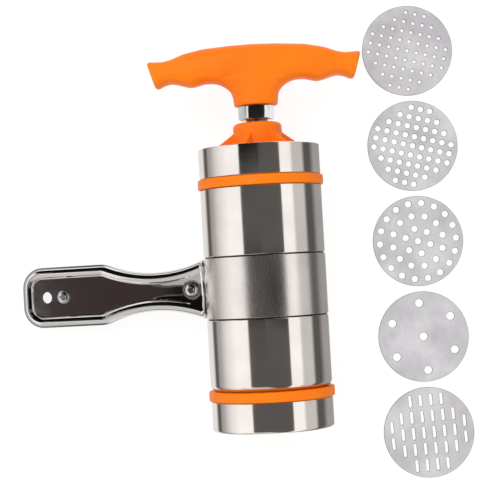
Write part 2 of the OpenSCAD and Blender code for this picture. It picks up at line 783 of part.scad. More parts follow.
// Rings of 6, 12 and 18 holes round a middle hole
module die_ringed() {
  die(2) {
    circle(d = ringed_hole_d, $fn = 32);
    for (ring = [1:3], i = [0:6 * ring - 1])
      rotate(360 * i / (6 * ring) + ring_turns[ring - 1]) translate([ring * die_d * 0.141, 0])
        circle(d = ringed_hole_d, $fn = 32);
  }
}

module die_seven_hole() {
  die(3) {
    circle(d = seven_hole_d, $fn = 32);
    for (i = [0:5]) rotate(60 * i + seven_hole_turn) translate([die_d * 0.374, 0]) circle(d = seven_hole_d, $fn = 32);
  }
}

// Rows of upright slots, with a shifted pair at each side
module die_slotted() {
  across = die_d * 0.115;
  along = die_d * 0.179;
  columns = [4, 6, 6, 6, 4];
  die(4) rotate(slot_turn) {
    for (row = [0:4], i = [0:columns[row] - 1])
      translate([(i - (columns[row] - 1) / 2) * across, (2 - row) * along]) slot();
    for (side = [-1, 1], half = [-0.5, 0.5])
      translate([side * 3.5 * across, half * along]) slot();
  }
}

module slot() {
  square([slot_w, slot_l - slot_w], center = true);
  for (end = [-1, 1]) translate([0, end * (slot_l - slot_w) / 2]) circle(d = slot_w, $fn = 24);
}

// ---------------------------------------------------------------- the press on the table

// Lays an upright part down, its front up
module lay() {
  translate([press_x, -die_mid, axis_z]) rotate([-90, 0, 0]) children();
}

// The same for the handle and its band, turned until the handle's tip rests on the table
module lay_handle() {
  lay() rotate([0, 0, -handle_roll]) children();
}

lay() t_grip();
lay() jam_nut();
lay() spindle();
lay() thrust_washer();
lay() piston_body();
lay() piston_seal();
lay() piston_washer();
lay() piston_screw();
lay() cap_core();
lay() top_cap_shell();
lay() drive_nut();
lay() nut_retainer();
lay() top_gasket();
lay() upper_collar();
lay() upper_sleeve();
lay() inner_jacket();
lay() dough_cylinder();
lay_handle() clamp_band();
lay_handle() handle_front();
lay_handle() handle_back();
lay_handle() root_screw();
lay_handle() tip_screw();
lay_handle() handle_nuts();
lay() lower_sleeve();
lay() lower_collar();
lay() bottom_gasket();
lay() bottom_cap_core();
lay() bottom_cap_shell();
die_fine();
die_medium();
die_ringed();
die_seven_hole();
die_slotted();
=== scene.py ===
# Looks of a hand press for noodles and fruit: polished steel shells, orange moulded plastic,
# a pressed side handle and five loose dies. Pieces are modelled in millimetres in the press's own
# frame, upright with z = 0 at the mouth, and set down on the table by the matrices PRESS, ROLLED
# and HANDLE.
import json
import math

import bmesh
import bpy
from mathutils import Matrix, Vector

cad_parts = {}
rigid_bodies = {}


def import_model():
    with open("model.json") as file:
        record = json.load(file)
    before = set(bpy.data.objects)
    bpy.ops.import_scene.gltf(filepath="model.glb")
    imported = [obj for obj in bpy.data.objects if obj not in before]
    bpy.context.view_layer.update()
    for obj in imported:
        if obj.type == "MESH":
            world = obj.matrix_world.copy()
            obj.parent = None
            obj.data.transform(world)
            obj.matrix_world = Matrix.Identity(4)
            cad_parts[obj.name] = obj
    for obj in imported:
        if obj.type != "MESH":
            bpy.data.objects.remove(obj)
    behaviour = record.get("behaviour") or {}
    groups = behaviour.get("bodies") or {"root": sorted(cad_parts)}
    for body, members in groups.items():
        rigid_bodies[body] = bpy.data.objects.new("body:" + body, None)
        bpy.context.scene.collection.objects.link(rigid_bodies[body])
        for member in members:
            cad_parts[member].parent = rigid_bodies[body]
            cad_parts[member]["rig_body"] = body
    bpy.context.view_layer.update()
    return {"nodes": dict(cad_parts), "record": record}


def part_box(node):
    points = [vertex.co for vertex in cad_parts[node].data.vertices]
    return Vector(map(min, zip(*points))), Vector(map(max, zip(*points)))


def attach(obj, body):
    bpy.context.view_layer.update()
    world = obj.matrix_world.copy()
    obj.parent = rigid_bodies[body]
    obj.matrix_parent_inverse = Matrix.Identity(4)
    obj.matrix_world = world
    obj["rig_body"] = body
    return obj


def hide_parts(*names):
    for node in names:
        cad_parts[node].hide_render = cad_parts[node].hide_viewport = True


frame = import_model()

nodes = frame["nodes"]
MM = 0.001
TURN = math.tau

# ---------------------------------------------------------------- sizes, in millimetres

SHEET = 0.8                 # pressed sheet steel
EDGE = 0.4                  # rolled edge of a cut sheet
BAND_LINE = 0.45            # by which the sleeves stop short of the clamp band
SLACK = 0.05                # between pieces that seat on each other
FIT = 0.1                   # round pieces that slide into each other
SUNK = 0.15                 # by which a thread's ridge roots in its wall
RING, NECK, SPIGOT = 5.4, 9.6, 12.0        # a collar's edge, threaded neck and spigot
SPIGOT_GAP = 2.5            # between a collar's spigot and the shell
CURL = 3.2                  # turned-in end of the lower sleeve
LIP = 7.6                   # steel lip round the outlet
CAP_PITCH, CAP_TURNS, CAP_RIDGE = 4.0, 1.5, 1.1
RIDGE_TIP, RIDGE_STEPS = 0.8, 64           # crest of the caps' thread, and its steps a turn
THREAD_GAP = 0.9            # from a collar's edge to its thread
NECK_WALL, SKIRT_GAP = 2, 0.3              # of a collar's neck, and from its thread to the cap's skirt
WEB, WEB_DROP = 3, 2.8      # top cap's web, and how deep it lies in the shell
SCREW_PITCH, SCREW_DEPTH, SCREW_R = 3.0, 1.75, 6.0
NUT_AF = 18.0               # jam nut, across its flats


def radius(name):
    """Radius of a round CAD node, in mm."""
    low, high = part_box(name)
    return (high.x - low.x) / 2 / MM


shell_low, shell_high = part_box("bottom_cap_shell")
axis_x, mouth_y = (shell_low.x + shell_high.x) / 2, shell_low.y
axis_z = (shell_low.z + shell_high.z) / 2


def along(name):
    """Lowest and highest place of a CAD node along the press, in mm from the mouth."""
    low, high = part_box(name)
    return (low.y - mouth_y) / MM, (high.y - mouth_y) / MM


barrel_r = radius("bottom_cap_shell")
shell_in_r = barrel_r - SHEET
ring_r = radius("upper_collar")
liner_r = radius("bottom_cap_core")
cylinder_r = radius("dough_cylinder")
bore_r = cylinder_r - SHEET
spigot_r = liner_r - SPIGOT_GAP
neck_bore_r = cylinder_r + SLACK
neck_r = neck_bore_r + NECK_WALL
thread_r = neck_r + CAP_RIDGE
skirt_r = thread_r + SKIRT_GAP
cap_h = along("bottom_cap_shell")[1]
band_z, band_end = along("clamp_band")
band_mid = (band_z + band_end) / 2
web_top = along("top_cap_shell")[1] - WEB_DROP
web_z = web_top - WEB
boss_top = along("cap_core")[1]
grip_z = along("t_grip")[0]
piston_z = along("piston_body")[0]

# The side handle: s runs out from the barrel's axis, w across, t from the middle plane to the front
HANDLE_W, HANDLE_L, TIP_R, SHOULDER_R = 33.6, 106.2, 11.5, 12.0
WAIST_R, WAIST_W, WAIST_OUT = 72.0, 21.2, 28.9
BEAD_W, BEAD_H, BEAD_CREST = 6.4, 4.7, 1.33          # BEAD_CREST over 1 sharpens the bead's crest
reach = barrel_r + HANDLE_L
waist_s = barrel_r + WAIST_OUT
waist_c = WAIST_W / 2 + WAIST_R
shoulder_c = HANDLE_W / 2 - SHOULDER_R
shoulder_s = waist_s + math.sqrt((WAIST_R + SHOULDER_R) ** 2 - (waist_c - shoulder_c) ** 2)
shoulder_a = math.atan2(shoulder_s - waist_s, waist_c - shoulder_c)
tip_c = HANDLE_W / 2 - TIP_R
BEND_R = 2.0                # bend of the band into its ears
panel_out = SLACK + SHEET + FIT + SHEET    # outer face of the handle's panel
root_screw_s, tip_screw_s, hang_hole_s = barrel_r + 8.4, reach - 23.9, reach - 13.4
SCREW_D, HEAD_D, HEAD_H, HANG_HOLE_D = 4.0, 7.3, 2.6, 6.6
ROOT_GAP, ROOT_CURL = 0.75, 2.2            # the shells' root end curls up against the band
# Slope in degrees of the panel's sides at the root, where it starts to fade and ends, and the flat middle
FLARE, FLARE_FULL, FLARE_END, FLAT_W = 15.0, 54.0, 66.0, 3.0
SCREW_FLAT, SCREW_FADE = 4.1, 5.5          # the panel stays flat round a screw out to these radii

# From the upright press to the table, then rolled so that the handle's tip rests on it
PRESS = (Matrix.Translation((axis_x, mouth_y, axis_z)) @ Matrix.Rotation(-TURN / 4, 4, "X")
         @ Matrix.Scale(MM, 4))
hole_axis = next(m["axis"] for m in frame["record"]["mounts"] if m["name"] == "hanging_hole")
handle_roll = math.atan2(-hole_axis[0], hole_axis[2])
ROLLED = PRESS @ Matrix.Rotation(-handle_roll, 4, "Z")
HANDLE = (ROLLED @ Matrix.Translation((0, 0, band_mid)) @ Matrix.Rotation(TURN / 2, 4, "Y")
          @ Matrix.Rotation(TURN / 4, 4, "X"))


# ---------------------------------------------------------------- materials

CLOUD_MM, FLOW_MM = 22, 30          # size of the slow changes in metal and in plastic
PORE_MM, PORE_DEPTH = 0.7, 0.006    # mould texture of the plastic


def linear(hex_colour):
    """An sRGB hex colour as Blender's linear RGBA."""
    parts = [int(hex_colour[i:i + 2], 16) / 255 for i in (1, 3, 5)]
    return [c / 12.92 if c <= 0.04045 else ((c + 0.055) / 1.055) ** 2.4 for c in parts] + [1]


def feed(tree, node, inputs):
    """Sets or links a node's inputs."""
    for socket, value in inputs.items():
        if isinstance(value, bpy.types.NodeSocket):
            tree.links.new(value, node.inputs[socket])
        else:
            node.inputs[socket].default_value = value


def add(tree, kind, inputs=None, **settings):
    """Adds a node with its settings and inputs."""
    made = tree.nodes.new("ShaderNode" + kind)
    for key, value in settings.items():
        setattr(made, key, value)
    feed(tree, made, inputs or {})
    return made


def direct(tree):
    """1 for rays from the camera, straight, mirrored or through glass, and 0 for soft light."""
    path = add(tree, "LightPath")
    total = path.outputs["Is Camera Ray"]
    for kind in ("Is Glossy Ray", "Is Transmission Ray"):
        total = add(tree, "Math", {0: total, 1: path.outputs[kind]}, operation="ADD").outputs[0]
    return total


def finish(name):
    """A new material, its tree, its surface shader and its place coordinates."""
    material = bpy.data.materials.new(name)
    material.use_nodes = True
    tree = material.node_tree
    shader = tree.nodes["Principled BSDF"]
    place = add(tree, "TexCoord").outputs["Object"]
    return material, tree, shader, place


def steel(name, hex_colour, rough, grain_mm, grain_depth, streak, smear, tarnish):
    """Bare metal with clouds of a second colour. streak stretches the grain along the way it was worked:
    1 across it, less along it. smear is the range of roughness that grain and clouds each bring."""
    material, tree, shader, place = finish(name)
    lines = add(tree, "Mapping", {"Vector": place, "Scale": [s / (grain_mm * MM) for s in streak]})
    grain = add(tree, "TexNoise", {"Vector": lines.outputs[0], "Scale": 1, "Detail": 3, "Roughness": 0.6})
    cloud = add(tree, "TexNoise", {"Vector": place, "Scale": 1 / (CLOUD_MM * MM), "Detail": 2})
    tone = add(tree, "MapRange", {"Value": cloud.outputs[0], "From Min": 0.35, "From Max": 0.7})
    colour = add(tree, "MixRGB", {"Fac": tone.outputs[0], "Color1": linear(hex_colour),
                                  "Color2": linear(tarnish)})
    dull = add(tree, "MapRange", {"Value": cloud.outputs[0], "From Min": 0.3, "From Max": 0.7,
                                  "To Min": rough - smear / 2, "To Max": rough + smear / 2})
    worked = add(tree, "MapRange", {"Value": grain.outputs[0], "From Min": 0.3, "From Max": 0.7,
                                    "To Min": -smear / 2, "To Max": smear / 2})
    total = add(tree, "Math", {0: dull.outputs[0], 1: worked.outputs[0]}, operation="ADD")
    bump = add(tree, "Bump", {"Height": grain.outputs[0], "Strength": 1, "Distance": grain_depth * MM})
    feed(tree, shader, {"Base Color": colour.outputs[0], "Metallic": 1, "Roughness": total.outputs[0],
                        "Normal": bump.outputs[0]})
    return material


# Stainless sheet, spun and buffed: crisp reflections, drawn out a little round the barrel
polished_sheet = steel("buffed stainless sheet", "#FCF4EE", 0.1, 0.9, 0.0006, (0.03, 1, 0.03), 0.03,
                       "#F1E9E3")
# The clamp band's satin grain runs along the barrel, which smears the reflections round it
satin_sheet = steel("satin stainless sheet", "#F8F1EC", 0.27, 0.35, 0.008, (1, 0.03, 1), 0.03, "#ECE4DF")
# The bore of the dough cylinder, drawn along its length and only lightly polished
drawn_tube = steel("drawn stainless tube", "#CFCBC7", 0.24, 0.5, 0.003, (1, 0.04, 1), 0.06, "#CFC8C3")
# The side handle's pressed shells, buffed after pressing, with fine scratches along the handle
pressed_shell = steel("buffed pressed stainless", "#FCF7F3", 0.06, 0.8, 0.0008, (0.05, 1, 1), 0.03, "#F2ECE8")
# Punched dies, tumbled smooth: a pale grey with clouds and short scuffs
tumbled_die = steel("tumbled stainless blank", "#DCD9DC", 0.3, 3.2, 0.006, (1, 0.6, 1), 0.12, "#CBC8CC")
# Their sheared edges: darker and rougher, a thin line round each blank and hole
sheared_edge = steel("sheared stainless edge", "#8C898C", 0.45, 0.6, 0.01, (1, 1, 1), 0.1, "#7C797C")
# The spindle's rolled thread, with a film of grease
rolled_screw = steel("rolled bright steel", "#A5A3A1", 0.3, 0.5, 0.004, (1, 1, 1), 0.12, "#7F7C79")
# Nut, screws and washers: zinc plated, bluish and bright
zinc_plate = steel("bright zinc plate", "#EEF0EE", 0.15, 0.7, 0.002, (1, 1, 1), 0.05, "#DDE2E3")
# Machined brass of the drive nut
turned_brass = steel("turned brass", "#D8B46A", 0.3, 0.5, 0.004, (1, 1, 1), 0.08, "#B98F45")


def moulded(name, hex_colour, deep, rough):
    """Moulded plastic: a soft gloss over a fine mould texture, and slow changes of colour."""
    material, tree, shader, place = finish(name)
    flow = add(tree, "TexNoise", {"Vector": place, "Scale": 1 / (FLOW_MM * MM), "Detail": 2})
    share = add(tree, "MapRange", {"Value": flow.outputs[0], "From Min": 0.35, "From Max": 0.7})
    colour = add(tree, "MixRGB", {"Fac": share.outputs[0], "Color1": linear(hex_colour),
                                  "Color2": linear(deep)})
    pores = add(tree, "TexNoise", {"Vector": place, "Scale": 1 / (PORE_MM * MM), "Detail": 2})
    gloss = add(tree, "MapRange", {"Value": flow.outputs[0], "To Min": rough - 0.06, "To Max": rough + 0.06})
    bump = add(tree, "Bump", {"Height": pores.outputs[0], "Strength": 1, "Distance": PORE_DEPTH * MM})
    feed(tree, shader, {"Base Color": colour.outputs[0], "Roughness": gloss.outputs[0],
                        "Normal": bump.outputs[0], "IOR": 1.49, "Specular IOR Level": 0.2})
    return material


# Orange polypropylene: saturated, with a satin gloss
orange_pp = moulded("orange moulded polypropylene", "#FF8408", "#FF7A04", 0.4)
# The jacket between the shells and the dough cylinder, coloured black as painted shade: it darkens the seams,
# where shade falls in the gaps
seam_shade_black_pp = moulded("black polypropylene for painted seam shade", "#2B2A29", "#252423", 0.5)
# Gaskets and the piston's lip: milky silicone rubber with a dull skin
milky_silicone = moulded("milky silicone rubber", "#E8E6E0", "#DEDBD3", 0.5)


# ---------------------------------------------------------------- modelling

def verts_in(geom):
    """The vertices among an operator's results."""
    return [g for g in geom if isinstance(g, bmesh.types.BMVert)]


def edges_in(geom):
    """The edges among an operator's results."""
    return [g for g in geom if isinstance(g, bmesh.types.BMEdge)]


def grown(bm, edges):
    """Extrudes a run of edges in place, and gives the new run's vertices and edges."""
    geom = bmesh.ops.extrude_edge_only(bm, edges=edges)["geom"]
    verts = verts_in(geom)
    return verts, [e for e in edges_in(geom) if all(v in verts for v in e.verts)]


def raise_faces(bm, height):
    """Makes a body of a flat shape."""
    geom = bmesh.ops.extrude_face_region(bm, geom=bm.faces[:])["geom"]
    bmesh.ops.translate(bm, verts=verts_in(geom), vec=(0, 0, height))


def section(bm, corners, closed=True, segments=5):
    """A wire in the x-z plane through (x, z, rounding) corners."""
    verts = [bm.verts.new((c[0], 0, c[1])) for c in corners]
    pairs = list(zip(verts, verts[1:])) + ([(verts[-1], verts[0])] if closed else [])
    for pair in pairs:
        bm.edges.new(pair)
    rounded = [(v, c[2]) for v, c in zip(verts, corners) if len(c) > 2]
    for r in sorted({r for v, r in rounded}):
        bmesh.ops.bevel(bm, geom=[v for v, own in rounded if own == r], offset=r, offset_type="OFFSET",
                        segments=segments, profile=0.5, affect="VERTICES", material=-1)


def turned(corners, closed=True, steps=160, segments=5):
    """A shape turned about the z axis, from a section in the x-z plane."""
    bm = bmesh.new()
    section(bm, corners, closed, segments)
    bmesh.ops.spin(bm, geom=bm.verts[:] + bm.edges[:], axis=(0, 0, 1), angle=TURN, steps=steps,
                   use_merge=True)
    bmesh.ops.remove_doubles(bm, verts=bm.verts, dist=1e-4)
    bmesh.ops.recalc_face_normals(bm, faces=bm.faces)
    return bm


def ring(outer, inner, low, high, rounding, steps=160):
    """A tube or washer with rounded edges."""
    return turned([(outer, low, rounding), (outer, high, rounding), (inner, high, rounding),
                   (inner, low, rounding)], steps=steps)


def ridge(root_r, crest_r, root_w, crest_w, pitch, turns, steps, low, start=0.0):
    """A screw thread's ridge about the z axis, its ends run out into the wall."""
    bm = bmesh.new()
    section(bm, [(root_r, low - root_w / 2), (crest_r, low - crest_w / 2),
                 (crest_r, low + crest_w / 2), (root_r, low + root_w / 2)])
    count = round(turns * steps)
    bmesh.ops.spin(bm, geom=bm.verts[:] + bm.edges[:], axis=(0, 0, 1), dvec=(0, 0, pitch / steps),
                   angle=TURN * count / steps, steps=count)
    bmesh.ops.holes_fill(bm, edges=[e for e in bm.edges if e.is_boundary], sides=4)
    for v in bm.verts:
        flat = math.hypot(v.co.x, v.co.y)
        done = round((v.co.z - low) / pitch * steps)
        fade = min(1, 0.03 + max(0, min(done, count - done)) / (0.2 * steps))
        if abs(flat - root_r) > 1e-3:
            v.co.xy *= (root_r + (flat - root_r) * fade) / flat
    bmesh.ops.rotate(bm, verts=bm.verts, matrix=Matrix.Rotation(start, 3, "Z"))
    bmesh.ops.recalc_face_normals(bm, faces=bm.faces)
    return bm


def mesh_of(name, bm):
    """The shape as a mesh. The shape itself is used up."""
    mesh = bpy.data.meshes.new(name)
    bm.to_mesh(mesh)
    bm.free()
    return mesh


def placed(name, data):
    """A new object of the scene."""
    made = bpy.data.objects.new(name, data)
    bpy.context.scene.collection.objects.link(made)
    return made


def modify(made, changes):
    """Adds modifiers, each given as (kind, settings)."""
    for kind, settings in changes:
        change = made.modifiers.new(kind, kind)
        for key, value in settings.items():
            setattr(change, key, value)


def joined(*parts):
    """Several shapes as one."""
    whole = bmesh.new()
    for part in parts:
        loose = mesh_of("loose", part)
        whole.from_mesh(loose)
        bpy.data.meshes.remove(loose)
    return whole


def shaped(bm, *changes):
    """The shape after modifiers, each given as (kind, settings)."""
    mesh = mesh_of("shaped", bm)
    blank = placed("shaped", mesh)
    modify(blank, changes)
    made = bpy.data.meshes.new_from_object(blank.evaluated_get(bpy.context.evaluated_depsgraph_get()))
    result = bmesh.new()
    result.from_mesh(made)
    bpy.data.objects.remove(blank)
    bpy.data.meshes.remove(mesh)
    bpy.data.meshes.remove(made)
    return result


def cut(bm, tool):
    """bm with the shape tool taken out of it."""
    mesh = mesh_of("tool", tool)
    cutter = placed("tool", mesh)
    result = shaped(bm, ("BOOLEAN", {"object": cutter, "operation": "DIFFERENCE", "solver": "EXACT"}))
    bpy.data.objects.remove(cutter)
    bpy.data.meshes.remove(mesh)
    return result


def fused(bm, voxel, smoothing):
    """Overlapping shapes grown into one moulded skin."""
    return shaped(bm, ("REMESH", {"mode": "VOXEL", "voxel_size": voxel, "use_smooth_shade": True}),
                  ("SMOOTH", {"factor": 0.5, "iterations": smoothing}))


def prism(corners, height):
    """A flat outline in the x-y plane raised along z."""
    bm = bmesh.new()
    verts = [bm.verts.new((*c, 0)) for c in corners]
    bmesh.ops.contextual_create(bm, geom=verts)
    raise_faces(bm, height)
    bmesh.ops.recalc_face_normals(bm, faces=bm.faces)
    return bm


def hexagon(across, height, low):
    """A six-sided bar from z = low, its width given across its flats."""
    bm = bmesh.new()
    bmesh.ops.create_circle(bm, cap_ends=True, segments=6, radius=across / math.sqrt(3))
    bmesh.ops.rotate(bm, verts=bm.verts, matrix=Matrix.Rotation(TURN / 12, 3, "Z"))
    raise_faces(bm, height)
    bmesh.ops.translate(bm, verts=bm.verts, vec=(0, 0, low))
    bmesh.ops.recalc_face_normals(bm, faces=bm.faces)
    return bm


def piece(name, bm, place, material, node, sharp=38, modifiers=()):
    """Sets a shape in place, as the looks of a CAD node. Edges over sharp degrees stay crisp."""
    mesh = mesh_of(name, bm)
    mesh.transform(place)
    mesh.materials.append(material)
    mesh.shade_smooth()
    mesh.set_sharp_from_angle(angle=math.radians(sharp))
    made = placed(name, mesh)
    modify(made, modifiers)
    even = made.modifiers.new("even shading", "WEIGHTED_NORMAL")
    even.keep_sharp = True
    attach(made, nodes[node]["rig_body"])
    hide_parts(node)
    return made


def softened(width, **settings):
    """A modifier that bevels a piece's sharp edges by a width in mm."""
    return "BEVEL", {"width": width * MM, "segments": 2, "limit_method": "ANGLE", **settings}


def dress(material, *names):
    """Gives carried-over CAD nodes their finish."""
    for name in names:
        nodes[name].data.materials.clear()
        nodes[name].data.materials.append(material)


# ---------------------------------------------------------------- barrel

def sleeve(low, high, turn_in=0.0):
    """A sheet wall with rolled edges. With turn_in, its lower end is turned in with that radius."""
    if not turn_in:
        return ring(barrel_r, shell_in_r, low, high, EDGE)
    foot = barrel_r - turn_in - EDGE
    return turned([(barrel_r, low, turn_in), (barrel_r, high, EDGE), (shell_in_r, high, EDGE),
                   (shell_in_r, low + SHEET, turn_in - SHEET), (foot, low + SHEET, EDGE), (foot, low, EDGE)],
                  segments=9)


# The sleeves stop short of the clamp band, which leaves a dark line at each of its ends: real shade in the
# gap, with the black jacket behind it as painted shade
low, high = along("upper_sleeve")
piece("upper_sleeve_skin", sleeve(low + BAND_LINE, high), PRESS, polished_sheet, "upper_sleeve")
low, high = along("lower_sleeve")
piece("lower_sleeve_skin", sleeve(low, high - BAND_LINE, CURL), PRESS, polished_sheet, "lower_sleeve")
piece("top_cap_skin", sleeve(*along("top_cap_shell")), PRESS, polished_sheet, "top_cap_shell")

lip_r = barrel_r - LIP
piece("mouth_skin", turned([
    (barrel_r, 0, 1.5), (barrel_r, cap_h, EDGE), (shell_in_r, cap_h, EDGE), (shell_in_r, SHEET, 0.7),
    (lip_r, SHEET, EDGE), (lip_r, 0, EDGE)], segments=7), PRESS, polished_sheet, "bottom_cap_shell")

low, high = along("dough_cylinder")
piece("dough_tube", ring(cylinder_r, bore_r, low, high, 0.3), PRESS, drawn_tube, "dough_cylinder")

for name in ("top_gasket", "bottom_gasket"):
    piece(name + "_ring", ring(radius(name), bore_r + 0.2, *along(name), 0.3), PRESS, milky_silicone, name)


def collar():
    """A threaded collar, neck upward, with the underside of its edge at z = 0."""
    body = turned([
        (neck_bore_r, -SPIGOT, 0.4), (spigot_r, -SPIGOT, 0.4), (spigot_r, 0), (ring_r, 0, 0.8),
        (ring_r, RING, 0.8), (neck_r, RING, 0.3), (neck_r, RING + NECK, 0.5),
        (neck_bore_r, RING + NECK, 0.4)])
    thread = ridge(neck_r - SUNK, thread_r, 2 * CAP_RIDGE, RIDGE_TIP, CAP_PITCH, CAP_TURNS, RIDGE_STEPS,
                   RING + CAP_RIDGE + THREAD_GAP)
    return joined(body, thread)


upper_ring_z = along("upper_collar")[0] + SPIGOT
lower_ring_z = along("lower_collar")[0] + NECK
piece("upper_ring", collar(), PRESS @ Matrix.Translation((0, 0, upper_ring_z)), orange_pp, "upper_collar")
piece("lower_ring", collar(), PRESS @ Matrix.Translation((0, 0, lower_ring_z + RING))
      @ Matrix.Rotation(TURN / 2, 4, "X"), orange_pp, "lower_collar")

# ---------------------------------------------------------------- caps

# The outlet's plastic core: a pocket that seats the die, a ledge for the gasket, and the thread
ledge_z = along("bottom_gasket")[0] - SLACK
seat_z = ledge_z - 1 - SLACK
floor_z = SHEET + SLACK
DIE_POCKET_R = 25.7
mouth_core = turned([
    (bore_r - FIT, floor_z, 0.3), (liner_r - 0.7, floor_z, 0.5), (liner_r, floor_z + 1.4),
    (liner_r, cap_h - FIT, 0.4), (skirt_r, cap_h - FIT, 0.4), (skirt_r, ledge_z),
    (DIE_POCKET_R, ledge_z, 0.2), (DIE_POCKET_R, seat_z), (bore_r - FIT, seat_z, 0.2)])
skirt_turns = CAP_TURNS - 0.25


def skirt_thread(low, start=0.0):
    """The ridge inside a cap's skirt."""
    return ridge(skirt_r + SUNK, neck_r + SKIRT_GAP, 1.6, RIDGE_TIP, CAP_PITCH, skirt_turns, RIDGE_STEPS,
                 low, start)


mouth_thread = skirt_thread(
    lower_ring_z - CAP_RIDGE - THREAD_GAP - CAP_PITCH / 2 - CAP_PITCH * skirt_turns, -TURN * skirt_turns)
piece("mouth_core", joined(mouth_core, mouth_thread), PRESS, orange_pp, "bottom_cap_core")

# The top cap's core: a skirt with its thread, and the boss braced by ribs on the web
BOSS_R, BOSS_HOLE_R, BOSS_ROUND = 13.3, 6.4, 2.6
RECESS_R, RECESS_T = 11.9, 1.3             # in the boss's underside, for the nut's retainer
RIBS, RIB_T, RIB_TURN, RIB_REACH, RIB_FOOT = 6, 2.6, TURN / 36, 28.0, 10
BOSS_VOXEL = 0.42                          # fuses boss and ribs, with small fillets between them
rib_top = boss_top - 5
skirt_low = along("cap_core")[0]
skirt = turned([
    (BOSS_R - 1, web_z), (skirt_r, web_z), (skirt_r, skirt_low, 0.4), (liner_r, skirt_low, 0.4),
    (liner_r, web_top, 0.5), (BOSS_R - 1, web_top)])
cap_thread = skirt_thread(upper_ring_z + RING + CAP_RIDGE + THREAD_GAP + CAP_PITCH / 2)
boss = turned([
    (BOSS_HOLE_R, web_z + RECESS_T), (RECESS_R, web_z + RECESS_T), (RECESS_R, web_z + 0.2),
    (BOSS_R, web_z + 0.2), (BOSS_R, boss_top, BOSS_ROUND), (BOSS_HOLE_R, boss_top, 0.5)], steps=96)
ribs = []
for i in range(RIBS):
    rib = prism([(RIB_FOOT, web_z + 1), (RIB_REACH, web_z + 1), (RIB_REACH, web_top), (BOSS_R - 0.5, rib_top),
                 (RIB_FOOT, rib_top)], RIB_T)
    bmesh.ops.translate(rib, verts=rib.verts, vec=(0, 0, -RIB_T / 2))
    round_boss = Matrix.Rotation(TURN * i / RIBS + RIB_TURN, 3, "Z") @ Matrix.Rotation(TURN / 4, 3, "X")
    bmesh.ops.rotate(rib, verts=rib.verts, matrix=round_boss)
    ribs.append(rib)
ribbed_boss = fused(joined(boss, *ribs), BOSS_VOXEL, 3)
piece("cap_boss", joined(skirt, cap_thread, ribbed_boss), PRESS, orange_pp, "cap_core")

# ---------------------------------------------------------------- piston

RIM_H, HUB_H, HUB_R = 8.0, 9.0, 10.0       # the piston's disc and the hub on it
GROOVE_H, GROOVE_DEPTH = 3.2, 2.0          # round the disc, for the seal
POCKET_R, POCKET_H = 8.5, 4.2              # in the disc's face, for the screw
JOURNAL_R, END_SCREW_R = 4.2, 2.0          # end of the spindle in the hub, and the screw in it
piston_r = radius("piston_body")
hub_top = piston_z + RIM_H + HUB_H
pocket_top = piston_z + POCKET_H
groove = piston_z + (RIM_H - GROOVE_H) / 2
piece("piston_plate", turned([
    (POCKET_R, piston_z, 0.4), (piston_r, piston_z, 0.8), (piston_r, groove, 0.2),
    (piston_r - GROOVE_DEPTH, groove), (piston_r - GROOVE_DEPTH, groove + GROOVE_H),
    (piston_r, groove + GROOVE_H, 0.2), (piston_r, piston_z + RIM_H, 0.8), (HUB_R, piston_z + RIM_H, 1.2),
    (HUB_R, hub_top, 0.6), (JOURNAL_R + SLACK, hub_top, 0.2), (JOURNAL_R + SLACK, pocket_top),
    (POCKET_R, pocket_top)]), PRESS, orange_pp, "piston_body")
seal_in, seal_out = piston_r - GROOVE_DEPTH + SLACK, radius("piston_seal")
seal_mid, seal_half = piston_z + RIM_H / 2, 1.5
piece("piston_lip", turned([
    (seal_in, seal_mid - seal_half, 0.2), (seal_out - 0.8, seal_mid - seal_half, 0.3),
    (seal_out, seal_mid, 0.7), (seal_out - 0.8, seal_mid + seal_half, 0.3),
    (seal_in, seal_mid + seal_half, 0.2)]),
    PRESS, milky_silicone, "piston_seal")
for name, hole_r in (("thrust_washer", 4.3), ("piston_washer", 2.1), ("nut_retainer", 6.6)):
    piece(name + "_disc", ring(radius(name), hole_r, *along(name), 0.2, 96), PRESS, zinc_plate, name)

# ---------------------------------------------------------------- spindle, nut and grip

FLANGE_R, FLANGE_T = 7.5, 2.5              # bears on the piston's hub through the thrust washer
HEAD_AF, HEAD_T = 16, 7                    # hexagonal end that the grip is moulded round
ROOT_SHARE, CREST_SHARE = 0.58, 0.3        # the thread's widths as shares of its pitch
flange_z = hub_top + 1.1
thread_low = flange_z + 3.4
jam_z, jam_top = along("jam_nut")
thread_top = jam_z - 0.3
head_z = along("spindle")[1] - HEAD_T
root_r = SCREW_R - SCREW_DEPTH
bar = turned([
    (END_SCREW_R + SLACK, pocket_top - SLACK), (JOURNAL_R, pocket_top - SLACK, 0.2), (JOURNAL_R, flange_z),
    (FLANGE_R, flange_z, 0.4), (FLANGE_R, flange_z + FLANGE_T, 0.4), (root_r, flange_z + FLANGE_T),
    (root_r, thread_top), (SCREW_R - SLACK, thread_top, 0.3), (SCREW_R - SLACK, head_z + 0.5),
    (END_SCREW_R + SLACK, head_z + 0.5)], steps=64)
thread = ridge(root_r - SUNK, SCREW_R, SCREW_PITCH * ROOT_SHARE, SCREW_PITCH * CREST_SHARE, SCREW_PITCH,
               (thread_top - thread_low - 1.2) / SCREW_PITCH, 40, thread_low)
piece("screw_bar", joined(bar, thread, hexagon(HEAD_AF, HEAD_T, head_z)), PRESS, rolled_screw, "spindle")

corner_r = NUT_AF / math.sqrt(3)
crown = (corner_r - NUT_AF / 2) * math.tan(math.radians(30))
nut_h = jam_top - jam_z
nut = hexagon(NUT_AF, nut_h + 2, jam_z - 1)
upright = [e for e in nut.edges if abs(e.verts[0].co.z - e.verts[1].co.z) > 1]
bmesh.ops.bevel(nut, geom=upright, offset=1.5, offset_type="OFFSET", segments=3, profile=0.5,
                affect="EDGES", material=-1)
